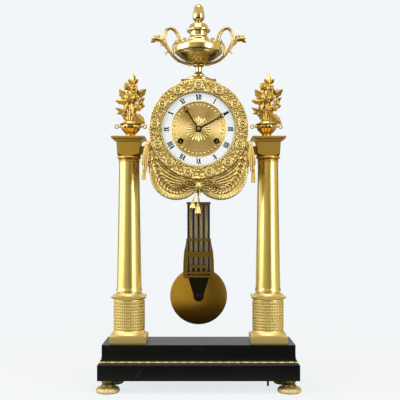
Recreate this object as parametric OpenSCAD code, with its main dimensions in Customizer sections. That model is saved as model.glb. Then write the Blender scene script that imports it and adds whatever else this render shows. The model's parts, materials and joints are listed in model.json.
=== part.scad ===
// Two-column portico clock: marble base, gilt columns, drum movement and gridiron pendulum.
// Millimetres. Origin on the table under the middle of the clock, +Z up, the dial faces -Y.
// Depths of the drum's pieces are given as a distance forward of the column axes.

/* [Base] */
// Width of the lower marble slab
lower_w = 273; // [264:1:300]
// Depth of the lower marble slab
lower_d = 81.2; // [79:0.2:100]
// Height of the lower marble slab
lower_h = 23; // [16:0.5:30]
// Bevel along the lower slab's top edge
lower_bevel = 2; // [0.5:0.5:3]
// Width of the upper marble slab at its top
upper_w = 262; // [254:1:263]
// Depth of the upper marble slab at its top
upper_d = 70; // [62:1:72]
// Height of the upper marble slab with its gilt strip
upper_h = 24.6; // [18:0.2:32]
// Spread of the hollow moulding at the upper slab's foot
cavetto = 2.5; // [1:0.5:3]
// Height of the hollow moulding
cavetto_h = 8.5; // [5:0.5:10]
// Height of the gilt strip between the slabs
strip_h = 3; // [2:0.5:5]
// Depth of the gilt strip's seat in the upper slab
strip_seat = 3; // [2:0.5:5]
// Height of a foot
foot_h = 17.4; // [14:0.2:22]
// Radius of a foot at its bulb
foot_r = 16; // [12:0.5:17]
// Radius of a foot's neck
foot_neck_r = 6; // [5:0.5:7]
// Distance of a foot's axis from the lower slab's edges
foot_inset = 13; // [10:0.5:20]
// Radius of a foot's fixing stud
stud_r = 2; // [1.5:0.25:3]
// Length of a foot's fixing stud
stud_len = 9; // [5:0.5:12]

/* [Columns] */
// Distance of each column's axis from the middle
col_x = 97; // [95:0.5:100]
// Side of a column's square plinth
plinth_w = 50; // [47:0.5:53]
// Height of the plinth
plinth_h = 9.3; // [6:0.1:14]
// Height of the flare between plinth and pedestal
flare_h = 7.1; // [5:0.1:10]
// Radius of the round pedestal
ped_r = 21.4; // [20:0.2:22]
// Height of the round pedestal
ped_h = 40.6; // [30:0.2:55]
// Number of bands cast round the pedestal
ped_bands = 10; // [5:1:15]
// Side of the pedestal's square cap
cap_w = 46; // [44.5:0.5:50]
// Height of the pedestal's cap with its groove ring
cap_h = 12.6; // [11:0.2:16]
// Radius of the groove ring under the shaft
groove_r = 15.5; // [13:0.25:16]
// Shaft radius at its foot
shaft_r1 = 17.4; // [16.5:0.1:18.5]
// Spread of the shaft's foot
shaft_flare = 0.7; // [0.3:0.1:1]
// Shaft radius at its neck
shaft_r2 = 14.1; // [12.5:0.1:15]
// Wall of the shaft
shaft_wall = 2; // [1.2:0.1:3]
// Height of the capital's round necking
necking_h = 8.4; // [7:0.2:12]
// Radius of the necking's upper ring
necking_r = 16.8; // [15.5:0.1:17.5]
// Side of the capital's block at its top
block_w = 32.4; // [30:0.2:34]
// Narrowing of the capital's block from top to bottom
block_taper = 2; // [0.4:0.2:3]
// Height of the capital's block
block_h = 18; // [16:0.5:24]
// Side of the abacus
abacus_w = 45.8; // [42:0.2:46.4]
// Height of the abacus
abacus_h = 8.3; // [7:0.1:12]
// Radius of the tie rods through the columns
rod_r = 1.5; // [1:0.1:2]
// How far the left-hand tie rod stands below the slab
tail_left = 7; // [6:0.5:15]
// How far the right-hand tie rod stands below the slab
tail_right = 15.4; // [6:0.2:15.8]
// Side of a tie rod's square nut
nut_w = 8; // [6:0.5:10]
// Thickness of a tie rod's nut
nut_t = 3; // [2:0.5:4]

/* [Flower vases] */
// Distance of each vase's axis inward of its column's axis
vase_in = 2; // [0:0.5:4]
// Radius of a vase's foot
vase_foot_r = 7; // [6:0.25:8]
// Radius of a vase at its lip
vase_r = 13; // [11:0.25:14.5]
// Height of a vase
vase_h = 19; // [16:0.5:24]
// Distance of the ring handles from the vase's axis
ring_x = 17.5; // [16:0.25:19]
// Height of the flowers above the vase
bouquet_h = 69; // [58:0.5:72]

/* [Drum and dial] */
// Radius of the drum case
drum_r = 64; // [63:0.25:65]
// Wall of the drum case
drum_wall = 1.5; // [1:0.1:2]
// Front of the drum, forward of the column axes
drum_front = 31; // [29:0.5:32]
// Back of the drum, behind the column axes
drum_back = 34; // [33:0.5:35]
// Height of the brackets above the foot of the capital's block
bracket_up = 8; // [7:0.5:10]
// Drop of the brackets below the dial centre
bracket_drop = 26; // [22:0.5:30]
// Height of a bracket
bracket_h = 11; // [8:0.5:13]
// Width of a bracket from front to back
bracket_d = 18; // [12:1:24]
// Outer radius of the wreath bezel
bezel_r = 67.6; // [66.8:0.2:69]
// Radius of the bezel's sight opening
sight_r = 50; // [49.8:0.2:51]
// Thickness of the bezel's ring
bezel_t = 4; // [3:0.5:5]
// Number of rosettes on the bezel
rosettes = 13; // [9:1:15]
// Radius of a rosette
rosette_r = 6.5; // [5:0.25:6.75]
// Height of a rosette above the bezel's ring
rosette_t = 3; // [2:0.25:3.5]
// Outer radius of the enamel ring
enamel_r = 49.5; // [46:0.1:49.6]
// Inner radius of the enamel ring
enamel_in = 37.4; // [35:0.2:40]
// Thickness of the enamel ring and of the gilt centre
dial_t = 2; // [1.5:0.1:2.5]
// Sideways distance of the winding holes from the dial centre
winding_x = 24.4; // [23.6:0.2:25]
// Drop of the winding holes below the dial centre
winding_drop = 16.2; // [15:0.2:17]
// Outer radius of a winding hole's collar
collar_r = 4; // [3.5:0.1:4.4]
// Side of a winding arbor's square
square_w = 3; // [2.6:0.1:3.2]
// Length of the minute hand from the centre
minute_len = 47; // [42:0.5:48]
// Length of the hour hand from the centre
hour_len = 36.5; // [32:0.5:38]
// Radius of the ring pierced in each hand
moon_r = 3; // [2.4:0.1:3.4]
// Thickness of a hand
hand_t = 0.8; // [0.6:0.1:1]
// Minute hand's place, in degrees clockwise from twelve
minute_at = 61; // [0:1:359]
// Hour hand's place, in degrees clockwise from twelve
hour_at = 327; // [0:1:359]

/* [Swag] */
// Thickness of the swag's plate and mounting ring
swag_t = 3; // [2.5:0.25:3.5]
// Radius of each hanging lobe
lobe_r = 36; // [33:0.5:37]
// Sideways distance of a lobe's centre from the middle
lobe_x = 30; // [28:0.5:31]
// Drop of a lobe's centre below the dial centre
lobe_drop = 60; // [57:0.5:62]
// Width of the fringe round each lobe
fringe_w = 6; // [4:0.5:7]
// Height of the fringe above the swag's plate
fringe_t = 1.4; // [1:0.1:1.8]

/* [Movement] */
// Radius of the movement's plates
plate_r = 46; // [45:0.5:50]
// Thickness of the movement's plates
plate_t = 2.5; // [2:0.1:2.6]
// Front face of the front plate, forward of the column axes
plate_front = 20; // [19:0.25:21]
// Clear depth between the plates
plate_gap = 25.5; // [25.3:0.1:26]
// Radius of a mainspring barrel
barrel_r = 15; // [13:0.5:15.5]
// Teeth of a barrel's great wheel
great_teeth = 80; // [76:2:80]
// Teeth of the second wheel
second_teeth = 60; // [56:2:60]
// Leaves of the train's pinions
leaves = 10; // [10:1:12]
// Tooth module of the great wheel
great_m = 0.425; // [0.42:0.005:0.43]
// Tooth module of the second wheel
second_m = 0.4; // [0.4:0.005:0.41]
// Teeth of the cannon pinion on the centre arbor
cannon_teeth = 14; // [14:1:14]
// Tooth module of the cannon pinion and its wheel
cannon_m = 0.45; // [0.45:0.01:0.48]
// Leaves of the minute wheel's pinion
minute_leaves = 12; // [12:1:12]
// Radius of the escape wheel
escape_r = 7.5; // [7:0.1:7.6]
// Teeth of the escape wheel
escape_teeth = 30; // [24:1:32]
// Radius of the bell
bell_r = 28; // [25:0.5:29]
// Wall of the bell
bell_wall = 1.6; // [1.2:0.1:2]

/* [Pendulum] */
// Rise of the suspension's bending point above the dial centre
pivot_rise = 31; // [30:0.25:32]
// Length from the bending point to the bob's centre
pendulum_len = 262.5; // [258:0.5:266]
// Plane of the gridiron's rods, behind the column axes
grid_y = 16; // [15.5:0.25:16.5]
// Radius of the bob
bob_r = 40.7; // [36:0.1:42]
// Clear height of the bob above the marble
bob_gap = 19.8; // [14:0.2:30]
// Thickness of the bob
bob_t = 12; // [9:0.5:13]
// Drop of the gridiron's top bar below the bending point
grid_top = 130; // [128:0.5:134]
// Drop from the foot of the gridiron to the bob's centre
hanger_len = 27.8; // [26:0.1:30]
// Spacing of the gridiron's rods
grid_pitch = 3.66; // [3.4:0.02:3.7]
// Radius of a steel rod of the gridiron
steel_rod_r = 1.45; // [1.2:0.05:1.5]
// Radius of a brass rod of the gridiron
brass_rod_r = 1.75; // [1.4:0.05:1.8]
// Thickness of the gridiron's bars from front to back
bar_t = 5; // [4:0.25:5]

/* [Urn] */
// Height of the saddle's top above the drum
saddle_h = 14.6; // [12:0.2:18]
// Radius of the saddle
saddle_r = 18.4; // [17:0.1:20]
// Radius of the saddle's foot on the drum
saddle_foot_r = 14.7; // [13:0.1:16]
// Length of the saddle's plate across the drum
saddle_plate_w = 48.6; // [44:0.2:52]
// Height of the urn's stem
stem_h = 17; // [15:0.5:22]
// Radius of the urn's bowl
bowl_r = 33.8; // [30:0.2:35]
// Height of the urn's bowl
bowl_h = 27.5; // [25:0.5:30]
// Height of the urn's lid
lid_h = 29; // [26:0.5:32]
// Radius of the lid's rim
lid_r = 16.5; // [15:0.25:18]
// Height of the acorn finial
acorn_h = 27; // [22:0.5:30]
// Radius of the acorn finial
acorn_r = 8.5; // [7:0.25:9.5]
// Radius of the rod that holds the urn together
urn_rod_r = 1.5; // [1:0.1:2]

/* [Fits] */
// Radial running clearance of an arbor in its hole
run = 0.06; // [0.03:0.01:0.09]
// Gap between pieces that are screwed or hung together
seat = 0.1; // [0.05:0.05:0.2]
// Gap between pieces that move past each other
clear = 0.4; // [0.3:0.05:0.5]

/* [Hidden] */
$fn = 72;
z_lower = foot_h;
z_upper = z_lower + lower_h;
z_plinth = z_upper + upper_h;
z_flare = z_plinth + plinth_h;
z_ped = z_flare + flare_h;
z_cap = z_ped + ped_h;
z_shaft = z_cap + cap_h;
// The pendulum sets the height of the dial, and the shafts fill what is left below the capitals
z_bob = z_plinth + bob_gap + bob_r;
z_pivot = z_bob + pendulum_len;
dial_z = z_pivot - pivot_rise;
z_block = dial_z - bracket_drop - bracket_up;
z_neck = z_block - necking_h;
shaft_h = z_neck - z_shaft;
z_abacus = z_block + block_h;
z_top = z_abacus + abacus_h;
z_saddle = dial_z + drum_r + saddle_h;
z_bowl = z_saddle + stem_h;
z_lid = z_bowl + bowl_h;
z_acorn = z_lid + lid_h;
z_grid = z_pivot - grid_top;
grid_len = pendulum_len - grid_top - hanger_len;
vase_x = col_x - vase_in;
foot_x = lower_w / 2 - foot_inset;
foot_y = lower_d / 2 - foot_inset;
rod_hole = rod_r + seat;
// Faces of the drum's stack, forward of the column axes
ring_face = drum_front + swag_t;
bezel_face = ring_face + bezel_t;
plate_face = drum_front;
dial_face = plate_face + dial_t;
spigot_r = 55.8;
dial_plate_t = 2;
back_face = plate_front - plate_t - plate_gap;
back_rear = back_face - plate_t;
cover_face = -drum_back - 2.5 - clear;
hinge_x = drum_r + 2.5;
hinge_back = -cover_face + 1;
knuckle_r = 1.8;
pin_r = 0.8;
knuckle_len = 10;
// Wheel work
great_r = great_m * great_teeth / 2;
second_r = second_m * second_teeth / 2;
barrel_far = norm([winding_x, winding_drop]);
mesh_a = great_m * (great_teeth + leaves) / 2;
mesh_b = second_m * (second_teeth + leaves) / 2;
along = (mesh_b * mesh_b - mesh_a * mesh_a + barrel_far * barrel_far) / (2 * barrel_far);
aside = sqrt(mesh_b * mesh_b - along * along);
barrel_dir = [winding_x, -winding_drop] / barrel_far;
second_at = along * barrel_dir + aside * [-barrel_dir[1], barrel_dir[0]];
second_angle = atan2(second_at[1], second_at[0]);
great_angle = atan2(second_at[1] + winding_drop, second_at[0] - winding_x);
motion_dist = cannon_m * cannon_teeth * 2;
hour_m = motion_dist * 2 / (minute_leaves * 5);
arbor_r = 1.2;
pivot_r = 0.9;
cannon_r = 2;
hour_pipe_r = 2.9;
barrel_arbor_r = 2.5;
escape_up = pivot_rise - escape_r * 1.6;
// Depths of the wheels, forward of the column axes
great_f = back_face + 5.6;
second_f = back_face + 3;
escape_f = back_face + 0.8;
wheel_t = 1.3;
hammer_at = [-42, 10];
stand_at = [-36, -18];
steel = [0.42, 0.43, 0.46];
gilt = [0.86, 0.68, 0.30];
brass = [0.78, 0.62, 0.28];
marble = [0.09, 0.09, 0.10];

// Smooth curve through hand-placed points
function blend(a, b, c, d, t) =
  0.5 * (2 * b + (c - a) * t + (2 * a - 5 * b + 4 * c - d) * t * t + (3 * b - a - 3 * c + d) * t * t * t);
function curve(p, n) = [
  for (i = [0:len(p) - 2]) for (j = [0:n - 1])
    blend(p[max(i - 1, 0)], p[i], p[i + 1], p[min(i + 2, len(p) - 1)], j / n),
  p[len(p) - 1]];
function arc(cx, cy, r, a1, a2, n) = [for (i = [0:n]) let(a = a1 + (a2 - a1) * i / n) [cx + r * cos(a),
  cy + r * sin(a)]];
function unit(v) = v / norm(v);
function heading(p, i) = unit(p[min(i + 1, len(p) - 1)] - p[max(i - 1, 0)]);
function polar(r, a) = [r * cos(a), r * sin(a)];
// Outline of a wheel: half widths of a tooth are shares of the pitch
function wheel_points(teeth, root, tip, root_share, tip_share) = [
  for (i = [0:teeth - 1]) let(p = 360 / teeth, a = i * p)
    each [polar(root, a - root_share * p), polar(tip, a - tip_share * p),
      polar(tip, a + tip_share * p), polar(root, a + root_share * p)]];

// Tube of changing thickness along a path that lies mostly in a plane facing the front
module tube(path, radii, sides, flat) {
  count = len(path);
  points = [for (i = [0:count - 1]) let(side = unit(cross([0, 1, 0], heading(path, i))))
    for (j = [0:sides - 1])
      path[i] + radii[i] * (cos(360 * j / sides) * side + flat * sin(360 * j / sides) * [0, 1, 0])];
  walls = [for (i = [0:count - 2]) for (j = [0:sides - 1])
    let(a = i * sides + j, b = i * sides + (j + 1) % sides) each [[b + sides, b, a], [a + sides,
      b + sides, a]]];
  first = [[for (j = [0:sides - 1]) j]];
  last = [[for (j = [0:sides - 1]) count * sides - 1 - j]];
  polyhedron(points, concat(walls, first, last));
}

// Solids that face the front: the first size is the back face, the second the front face
module front_prism(back, front) {
  rotate([90, 0, 0]) translate([0, 0, back]) linear_extrude(front - back) children();
}
module front_rod(r, back, front) {
  rotate([90, 0, 0]) translate([0, 0, back]) cylinder(r = r, h = front - back);
}
module front_turn() {
  rotate([90, 0, 0]) rotate_extrude() children();
}
module at_dial(x, z) {
  translate([x, 0, dial_z + z]) children();
}
// Square moulded block: the same outline seen from the front and from the side
module square_block(span) {
  intersection() {
    rotate([90, 0, 0]) linear_extrude(span, center = true) children();
    rotate([90, 0, 90]) linear_extrude(span, center = true) children();
  }
}
module wheel_disc(teeth, m, root_share, tip_share, addendum, phase) {
  pitch_r = teeth * m / 2;
  rotate(phase) polygon(wheel_points(teeth, pitch_r - 1.15 * m, pitch_r + addendum * m, root_share,
    tip_share));
}

// Base
module slab_outline(w) {
  polygon([[-w / 2, 0], [w / 2, 0], [w / 2, lower_h - lower_bevel], [w / 2 - lower_bevel, lower_h],
    [lower_bevel - w / 2, lower_h], [-w / 2, lower_h - lower_bevel]]);
}
module lower_slab() {
  color(marble) difference() {
    translate([0, 0, z_lower]) intersection() {
      rotate([90, 0, 0]) linear_extrude(lower_d, center = true) slab_outline(lower_w);
      rotate([90, 0, 90]) linear_extrude(lower_w, center = true) slab_outline(lower_d);
    }
    for (sx = [-1, 1]) {
      translate([sx * col_x, 0, z_lower - 1]) cylinder(r = rod_hole, h = lower_h + 2);
      for (sy = [-1, 1])
        translate([sx * foot_x, sy * foot_y, z_lower - 1]) cylinder(r = stud_r + seat, h = stud_len + 2);
    }
  }
}
function hollow_side(w) = [for (i = [0:8]) let(a = 90 * i / 8)
  [w / 2 + cavetto * (1 - sin(a)), strip_h + cavetto_h * (1 - cos(a))]];
module upper_outline(w) {
  side = hollow_side(w);
  foot = w / 2 + cavetto - strip_seat;
  right = concat([[foot, 0], [foot, strip_h]], side, [[w / 2, upper_h]]);
  polygon(concat(right, [for (i = [len(right) - 1:-1:0]) [-right[i][0], right[i][1]]]));
}
module upper_slab() {
  color(marble) difference() {
    translate([0, 0, z_upper]) intersection() {
      rotate([90, 0, 0]) linear_extrude(upper_d + 2 * cavetto, center = true) upper_outline(upper_w);
      rotate([90, 0, 90]) linear_extrude(upper_w + 2 * cavetto, center = true) upper_outline(upper_d);
    }
    for (sx = [-1, 1])
      translate([sx * col_x, 0, z_upper - 1]) cylinder(r = rod_hole, h = upper_h + 2);
  }
}
module bead_strip() {
  inner_w = upper_w + 2 * (cavetto - strip_seat) + 2 * seat;
  inner_d = upper_d + 2 * (cavetto - strip_seat) + 2 * seat;
  color(gilt) translate([0, 0, z_upper]) linear_extrude(strip_h - seat) difference() {
    square([upper_w + 2 * cavetto + 1, upper_d + 2 * cavetto + 1], center = true);
    square([inner_w, inner_d], center = true);
  }
}
module foot() {
  bulb = curve([[foot_r - 1.2, 0], [foot_r, 3.6], [foot_r - 2.4, 6.6], [foot_r - 6.6, 8.4]], 5);
  waist = curve([[foot_neck_r + 3, 8.6], [foot_neck_r + 2.5, 10.5], [foot_neck_r + 0.6, 13], [foot_neck_r,
    foot_h]], 4);
  rotate_extrude() polygon(concat([[0, 0]], bulb, waist, [[0, foot_h]]));
  translate([0, 0, foot_h - 1]) cylinder(r = stud_r, h = stud_len + 1);
}
module feet() {
  color(gilt) for (sx = [-1, 1]) for (sy = [-1, 1]) translate([sx * foot_x, sy * foot_y, 0]) foot();
}

// Columns
module pedestal() {
  step = ped_h / ped_bands;
  trumpet = curve([[plinth_w * 0.72, -0.4], [plinth_w / 2 + 1.5, 0.6], [ped_r + 1.6, flare_h * 0.5],
    [ped_r - 0.6, flare_h]], 5);
  bands = [for (i = [0:ped_bands - 1]) each [[ped_r - 0.6, i * step], [ped_r, i * step + 0.6],
    [ped_r, (i + 1) * step - 0.6], [ped_r - 0.6, (i + 1) * step]]];
  color(gilt) difference() {
    union() {
      translate([0, 0, z_plinth + plinth_h / 2]) cube([plinth_w, plinth_w, plinth_h], center = true);
      intersection() {
        translate([0, 0, z_flare]) rotate_extrude() polygon(concat([[0, -0.4]], trumpet, [[0, flare_h]]));
        translate([0, 0, z_flare]) cube([plinth_w, plinth_w, 2 * flare_h], center = true);
      }
      translate([0, 0, z_ped]) rotate_extrude() polygon(concat([[0, 0]], bands, [[0, ped_h]]));
    }
    translate([0, 0, z_plinth - 1]) cylinder(r = rod_hole, h = plinth_h + flare_h + ped_h + 2);
  }
}
module pedestal_left() { translate([-col_x, 0, 0]) pedestal(); }
module pedestal_right() { translate([col_x, 0, 0]) pedestal(); }
module pedestal_cap() {
  corner = cap_w * 0.72;
  low = cap_h * 0.2;
  top = cap_h - 2.3;
  under = [[0, 0], [ped_r - 0.5, 0], [ped_r - 0.5, low - 0.8], [corner, low + 3.8]];
  over = curve([[corner, low + 4.1], [cap_w / 2 + 1, low + 4], [groove_r + 4.8, top - 2.4],
    [groove_r + 2.6, top]], 5);
  ring = [[groove_r, top], [groove_r, cap_h], [0, cap_h]];
  color(gilt) difference() {
    translate([0, 0, z_cap]) intersection() {
      rotate_extrude() polygon(concat(under, over, ring));
      cube([cap_w, cap_w, 4 * cap_h], center = true);
    }
    translate([0, 0, z_cap - 1]) cylinder(r = rod_hole, h = cap_h + 2);
  }
}
module pedestal_cap_left() { translate([-col_x, 0, 0]) pedestal_cap(); }
module pedestal_cap_right() { translate([col_x, 0, 0]) pedestal_cap(); }
function shaft_radius(t) = shaft_r1 + (shaft_r2 - shaft_r1) * (t + 0.35 * t * (1 - t));
module shaft() {
  steps = 12;
  foot = [[shaft_r1 + shaft_flare, 0], [shaft_r1 + shaft_flare, 1.8], [shaft_radius(5 / shaft_h), 5]];
  outside = concat(foot, [for (i = [1:steps]) [shaft_radius(i / steps), shaft_h * i / steps]]);
  inside = [for (i = [steps:-1:0]) [shaft_radius(i / steps) - shaft_wall, shaft_h * i / steps]];
  color(gilt) translate([0, 0, z_shaft]) rotate_extrude() polygon(concat(outside, inside));
}
module shaft_left() { translate([-col_x, 0, 0]) shaft(); }
module shaft_right() { translate([col_x, 0, 0]) shaft(); }
module capital() {
  rings = concat([[0, 0], [shaft_r2 + 0.2, 0]], arc(shaft_r2, 1.6, 1.1, -80, 80, 6), [[shaft_r2 - 0.2,
    3.6]],
    arc(necking_r - 1.8, necking_h - 2, 1.8, -70, 70, 6), [[necking_r - 1, necking_h], [0, necking_h]]);
  half = block_w / 2;
  moulding = curve([[half, block_h], [half + 0.6, block_h + 2.4], [half + 3, block_h + 4.6],
    [abacus_w / 2 - 0.8, block_h + 5.4]], 4);
  right = concat([[half - block_taper / 2, 0], [half, block_h]], moulding,
    [[abacus_w / 2, block_h + 5.6], [abacus_w / 2, block_h + abacus_h]]);
  color(gilt) difference() {
    union() {
      translate([0, 0, z_neck]) rotate_extrude() polygon(rings);
      translate([0, 0, z_block]) intersection() {
        square_block(abacus_w + 2)
          polygon(concat(right, [for (i = [len(right) - 1:-1:0]) [-right[i][0], right[i][1]]]));
        union() {
          cylinder(r1 = necking_r - 1, r2 = block_w * 0.75, h = 5);
          translate([0, 0, 5]) cylinder(r = abacus_w, h = block_h + abacus_h);
        }
      }
    }
    translate([0, 0, z_neck - 1]) cylinder(r = rod_hole, h = necking_h + block_h + abacus_h + 2);
  }
}
module capital_left() { translate([-col_x, 0, 0]) capital(); }
module capital_right() { translate([col_x, 0, 0]) capital(); }
module tie_rod(tail) {
  translate([0, 0, z_lower - tail]) cylinder(r = rod_r, h = z_top - z_lower + tail - 0.4);
  translate([0, 0, z_lower - nut_t / 2 - seat]) cube([nut_w, nut_w, nut_t], center = true);
}
module tie_rods() {
  color(steel) {
    translate([-col_x, 0, 0]) tie_rod(tail_left);
    translate([col_x, 0, 0]) tie_rod(tail_right);
  }
}

// Flower vases
module vase() {
  foot = curve([[vase_foot_r, 0], [vase_foot_r, 1.2], [vase_foot_r - 2.2, 2.2], [4.4, 3.6]], 4);
  bowl = curve([[4.6, 4], [6.2, 6], [vase_r - 3, vase_h * 0.6], [vase_r - 1.2, vase_h - 3], [vase_r,
    vase_h - 1.4]], 5);
  color(gilt) {
    rotate_extrude() polygon(concat([[0, 0]], foot, bowl, [[vase_r, vase_h - 0.4], [vase_r - 1, vase_h],
      [0, vase_h]]));
    for (s = [-1, 1]) {
      translate([s * (ring_x + 2.4), 0, vase_h - 3.6]) rotate([90, 0, 0]) rotate_extrude() translate([2.4,
        0]) circle(r = 0.8);
      translate([s * (vase_r - 3.4), 0, vase_h - 3.6]) rotate([0, s * 90, 0]) cylinder(r = 1,
        h = ring_x - vase_r + 3.6);
    }
  }
}
module vase_left() { translate([-vase_x, 0, z_top]) vase(); }
module vase_right() { translate([vase_x, 0, z_top]) vase(); }
// A leaf from its stalk: place across, up and forward, angle from level, turn to the front, length and width
module leaf(x, z, f, angle, turn, long, wide) {
  translate([x, -f, z]) rotate([0, -angle, 0]) rotate([0, 0, turn]) hull() {
    sphere(r = 0.8, $fn = 4);
    translate([long * 0.5, 0, 0]) scale([long * 0.25, 0.9, wide / 2]) sphere(r = 1, $fn = 6);
    translate([long - 0.4, 0, 0]) sphere(r = 0.4, $fn = 4);
  }
}
module blossom(x, z, f, r, petals) {
  translate([x, -f, z]) {
    scale([0.64 * r, 0.75 * r, 0.64 * r]) sphere(r = 1, $fn = 6);
    for (i = [0:petals - 1]) rotate([0, 360 * i / petals, 0])
      translate([0.58 * r, 0, 0]) scale([0.46 * r, 0.5 * r, 0.42 * r]) sphere(r = 1, $fn = 6);
  }
}
// Height of the modelled flowers, and the height where they leave the vase
cast_h = 69;
cast_low = 19;
leaves_cast = [[-8, 53, 2, 138, -12, 15, 9], [-8, 54, 2, 196, -10, 13, 8], [6, 57, 0, 28, 12, 17, 9],
  [7, 45, 2, 32, 10, 15, 6], [7, 43, 0, 4, 10, 12, 5], [-6, 31, 2, 152, -8, 19, 6], [-5, 31, 0, 168, -8,
    12, 5],
  [-3, 22, 5, 150, -10, 11, 6], [4, 32, 4, -42, 16, 17, 9], [-1, 73, 0, 80, 0, 15, 4], [4, 66, 2.5, 50, 8,
    12, 5],
  [-4, 64, 1, 112, 0, 13, 6], [1, 24, 0, 70, 30, 22, 8], [-3.5, 40, 1, 110, -30, 20, 8], [5.6, 50, -1, 75,
    20, 20, 8]];
blossoms_cast = [[-4, 53, 4, 6, 5], [11, 41, 3, 6, 6], [-5, 69, 2, 5, 5], [4, 66, 3, 4.4, 5]];
stems_cast = [[[-2, 0, 17], [-3, -1, 34], [-5, -2, 52], [-5, -1, 68]], [[2, -1, 17], [2, 0, 38], [1, 0,
  58], [1, 0, 76]],
  [[0, -3, 17], [4, -3, 30], [10, -2, 41]], [[3, 1, 17], [5, 1, 40], [6, 1, 58]], [[-3, -2, 17], [-4, -2,
    30], [-8, -2, 33]]];
module bouquet() {
  color(gilt) translate([0, 0, z_top + vase_h + seat]) scale(bouquet_h / cast_h) translate([0, 0,
    -cast_low]) {
    translate([0, 0, cast_low]) cylinder(r1 = 9, r2 = 4, h = 4, $fn = 16);
    for (l = leaves_cast) leaf(l[0], l[1], l[2], l[3], l[4], l[5], l[6]);
    for (b = blossoms_cast) blossom(b[0], b[1], b[2], b[3], b[4]);
    for (s = stems_cast) let(p = concat([s[0] + [0, 0, 3]], [for (i = [1:len(s) - 1]) s[i]]),
      path = curve(p, 2))
      tube(path, [for (i = path) 1.4], 4, 1);
  }
}
module bouquet_left() { translate([-vase_x, 0, 0]) bouquet(); }
module bouquet_right() { translate([vase_x, 0, 0]) bouquet(); }

// Drum case and what holds it
module drum_case() {
  color(gilt) at_dial(0, 0) difference() {
    front_rod(drum_r, -drum_back, drum_front);
    front_rod(drum_r - drum_wall, -drum_back - 1, drum_front + 1);
    translate([-12, grid_y - 4, -drum_r - 1]) cube([24, 8, 10]);
    translate([0, 0, drum_r - 10]) cylinder(r = urn_rod_r + seat, h = 20);
  }
}
module bracket(s) {
  top_half = block_w / 2 - block_taper / 2 * (1 - (bracket_up + bracket_h / 2) / block_h);
  reach = col_x - top_half - seat;
  difference() {
    translate([s * reach / 2 + s * 20, 0, z_block + bracket_up]) cube([reach - 40, bracket_d, bracket_h],
      center = true);
    at_dial(0, 0) front_rod(drum_r + seat, -drum_back, drum_front);
  }
}
module brackets() {
  color(gilt) {
    bracket(-1);
    bracket(1);
  }
}
module back_ring() {
  color(brass) at_dial(0, 0) {
    front_prism(-drum_back - 2.5, -drum_back) difference() {
      union() {
        circle(r = drum_r + 1);
        for (s = [-1, 1]) translate([drum_r - 3, s * knuckle_len - knuckle_len / 2 + 0.1]) square([5.5,
          knuckle_len - 0.2]);
      }
      circle(r = drum_r - 6);
    }
    for (s = [-1, 1]) translate([hinge_x, hinge_back, s * knuckle_len - knuckle_len / 2 + 0.1])
      cylinder(r = knuckle_r, h = knuckle_len - 0.2);
    translate([hinge_x, hinge_back, -knuckle_len]) cylinder(r = pin_r, h = 2 * knuckle_len);
  }
}
module back_cover() {
  half = knuckle_len / 2 - 0.2;
  color(brass) at_dial(0, 0) {
    difference() {
      union() {
        front_prism(cover_face - 2, cover_face) circle(r = drum_r - 0.5);
        translate([drum_r - 4, -cover_face, -half]) cube([hinge_x - drum_r + 4, 2, 2 * half]);
        translate([hinge_x, hinge_back, -half]) cylinder(r = knuckle_r, h = 2 * half);
      }
      translate([hinge_x, hinge_back, -half - 1]) cylinder(r = pin_r + run, h = 2 * half + 2);
    }
    translate([-drum_r + 10, 0, 0]) front_turn()
      polygon([[0, cover_face - 1.5], [2, cover_face - 1.5], [1.6, cover_face - 3], [3, cover_face - 4.2],
        [2.4, cover_face - 5.4], [0, cover_face - 5.6]]);
  }
}
module bezel() {
  mid_r = (sight_r + bezel_r) / 2 + 0.6;
  back = plate_face + seat;
  face = bezel_face;
  section = [[sight_r, back], [spigot_r, back], [spigot_r, ring_face + seat], [bezel_r, ring_face + seat],
    [bezel_r, face - 1.4],
    [bezel_r - 1.2, face], [sight_r + 4, face], [sight_r + 2.6, face - 0.6], [sight_r + 2.2, face - 1.6],
      [sight_r + 1.6, face - 1.2],
    [sight_r + 0.6, face - 1.2], [sight_r, face - 2]];
  top = face + rosette_t;
  button = [[0, face - 0.5], [rosette_r - 0.6, face - 0.5], [rosette_r - 0.2, face + 0.6],
    [rosette_r - 1.2, top - 1.6],
    [rosette_r - 2.6, top - 1.9], [2.9, top - 1.8], [2.6, top - 0.4], [1.6, top], [0.9, top - 0.5], [0,
      top - 0.6]];
  color(gilt) at_dial(0, 0) {
    front_turn() polygon(section);
    for (i = [0:rosettes - 1]) rotate([0, 360 * i / rosettes, 0]) translate([0, 0,
      mid_r]) front_turn() polygon(button);
  }
}

// Swag of drapery under the bezel; heights here are measured from the dial centre.
// Its points were modelled for a bezel of this radius and follow the bezel's size
swag_cast_r = 67.6;
swag_scale = bezel_r / swag_cast_r;
stalk_cast = [[64, -34], [58, -52], [46, -72], [32, -82], [18, -82]];
tail_cast = [[68.6, -20], [2, 0], [70, -69], [2.5, 0]];
tail_extra = 4;
module swag_side(s) {
  edge = bezel_r + clear;
  for (k = [0:2]) {
    path = [for (i = [0:9]) let(t = i / 9, a = -20 - 63 * t, r = edge + 3 + (2 + 5 * k) * sin(180 * t))
      [s * r * cos(a), -ring_face, r * sin(a)]];
    tube(path, [for (i = path) 2.6 * swag_scale], 6, 0.9);
  }
  stalk = curve(swag_scale * stalk_cast, 2);
  for (i = [0:len(stalk) - 2]) let(d = stalk[i + 1] - stalk[i], a = atan2(d[1], d[0]))
    translate([s * stalk[i][0], -ring_face - 0.6, stalk[i][1]]) rotate([0, s > 0 ? -a : a - 180, 0])
      for (turn = [-28, 28]) rotate([0, turn, 0]) scale(swag_scale) hull() {
        sphere(r = 0.8, $fn = 4);
        translate([4, 0, 0]) scale([2.6, 1.6, 1.9]) sphere(r = 1, $fn = 6);
        translate([8, 0, 0]) sphere(r = 0.4, $fn = 4);
      }
}
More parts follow.
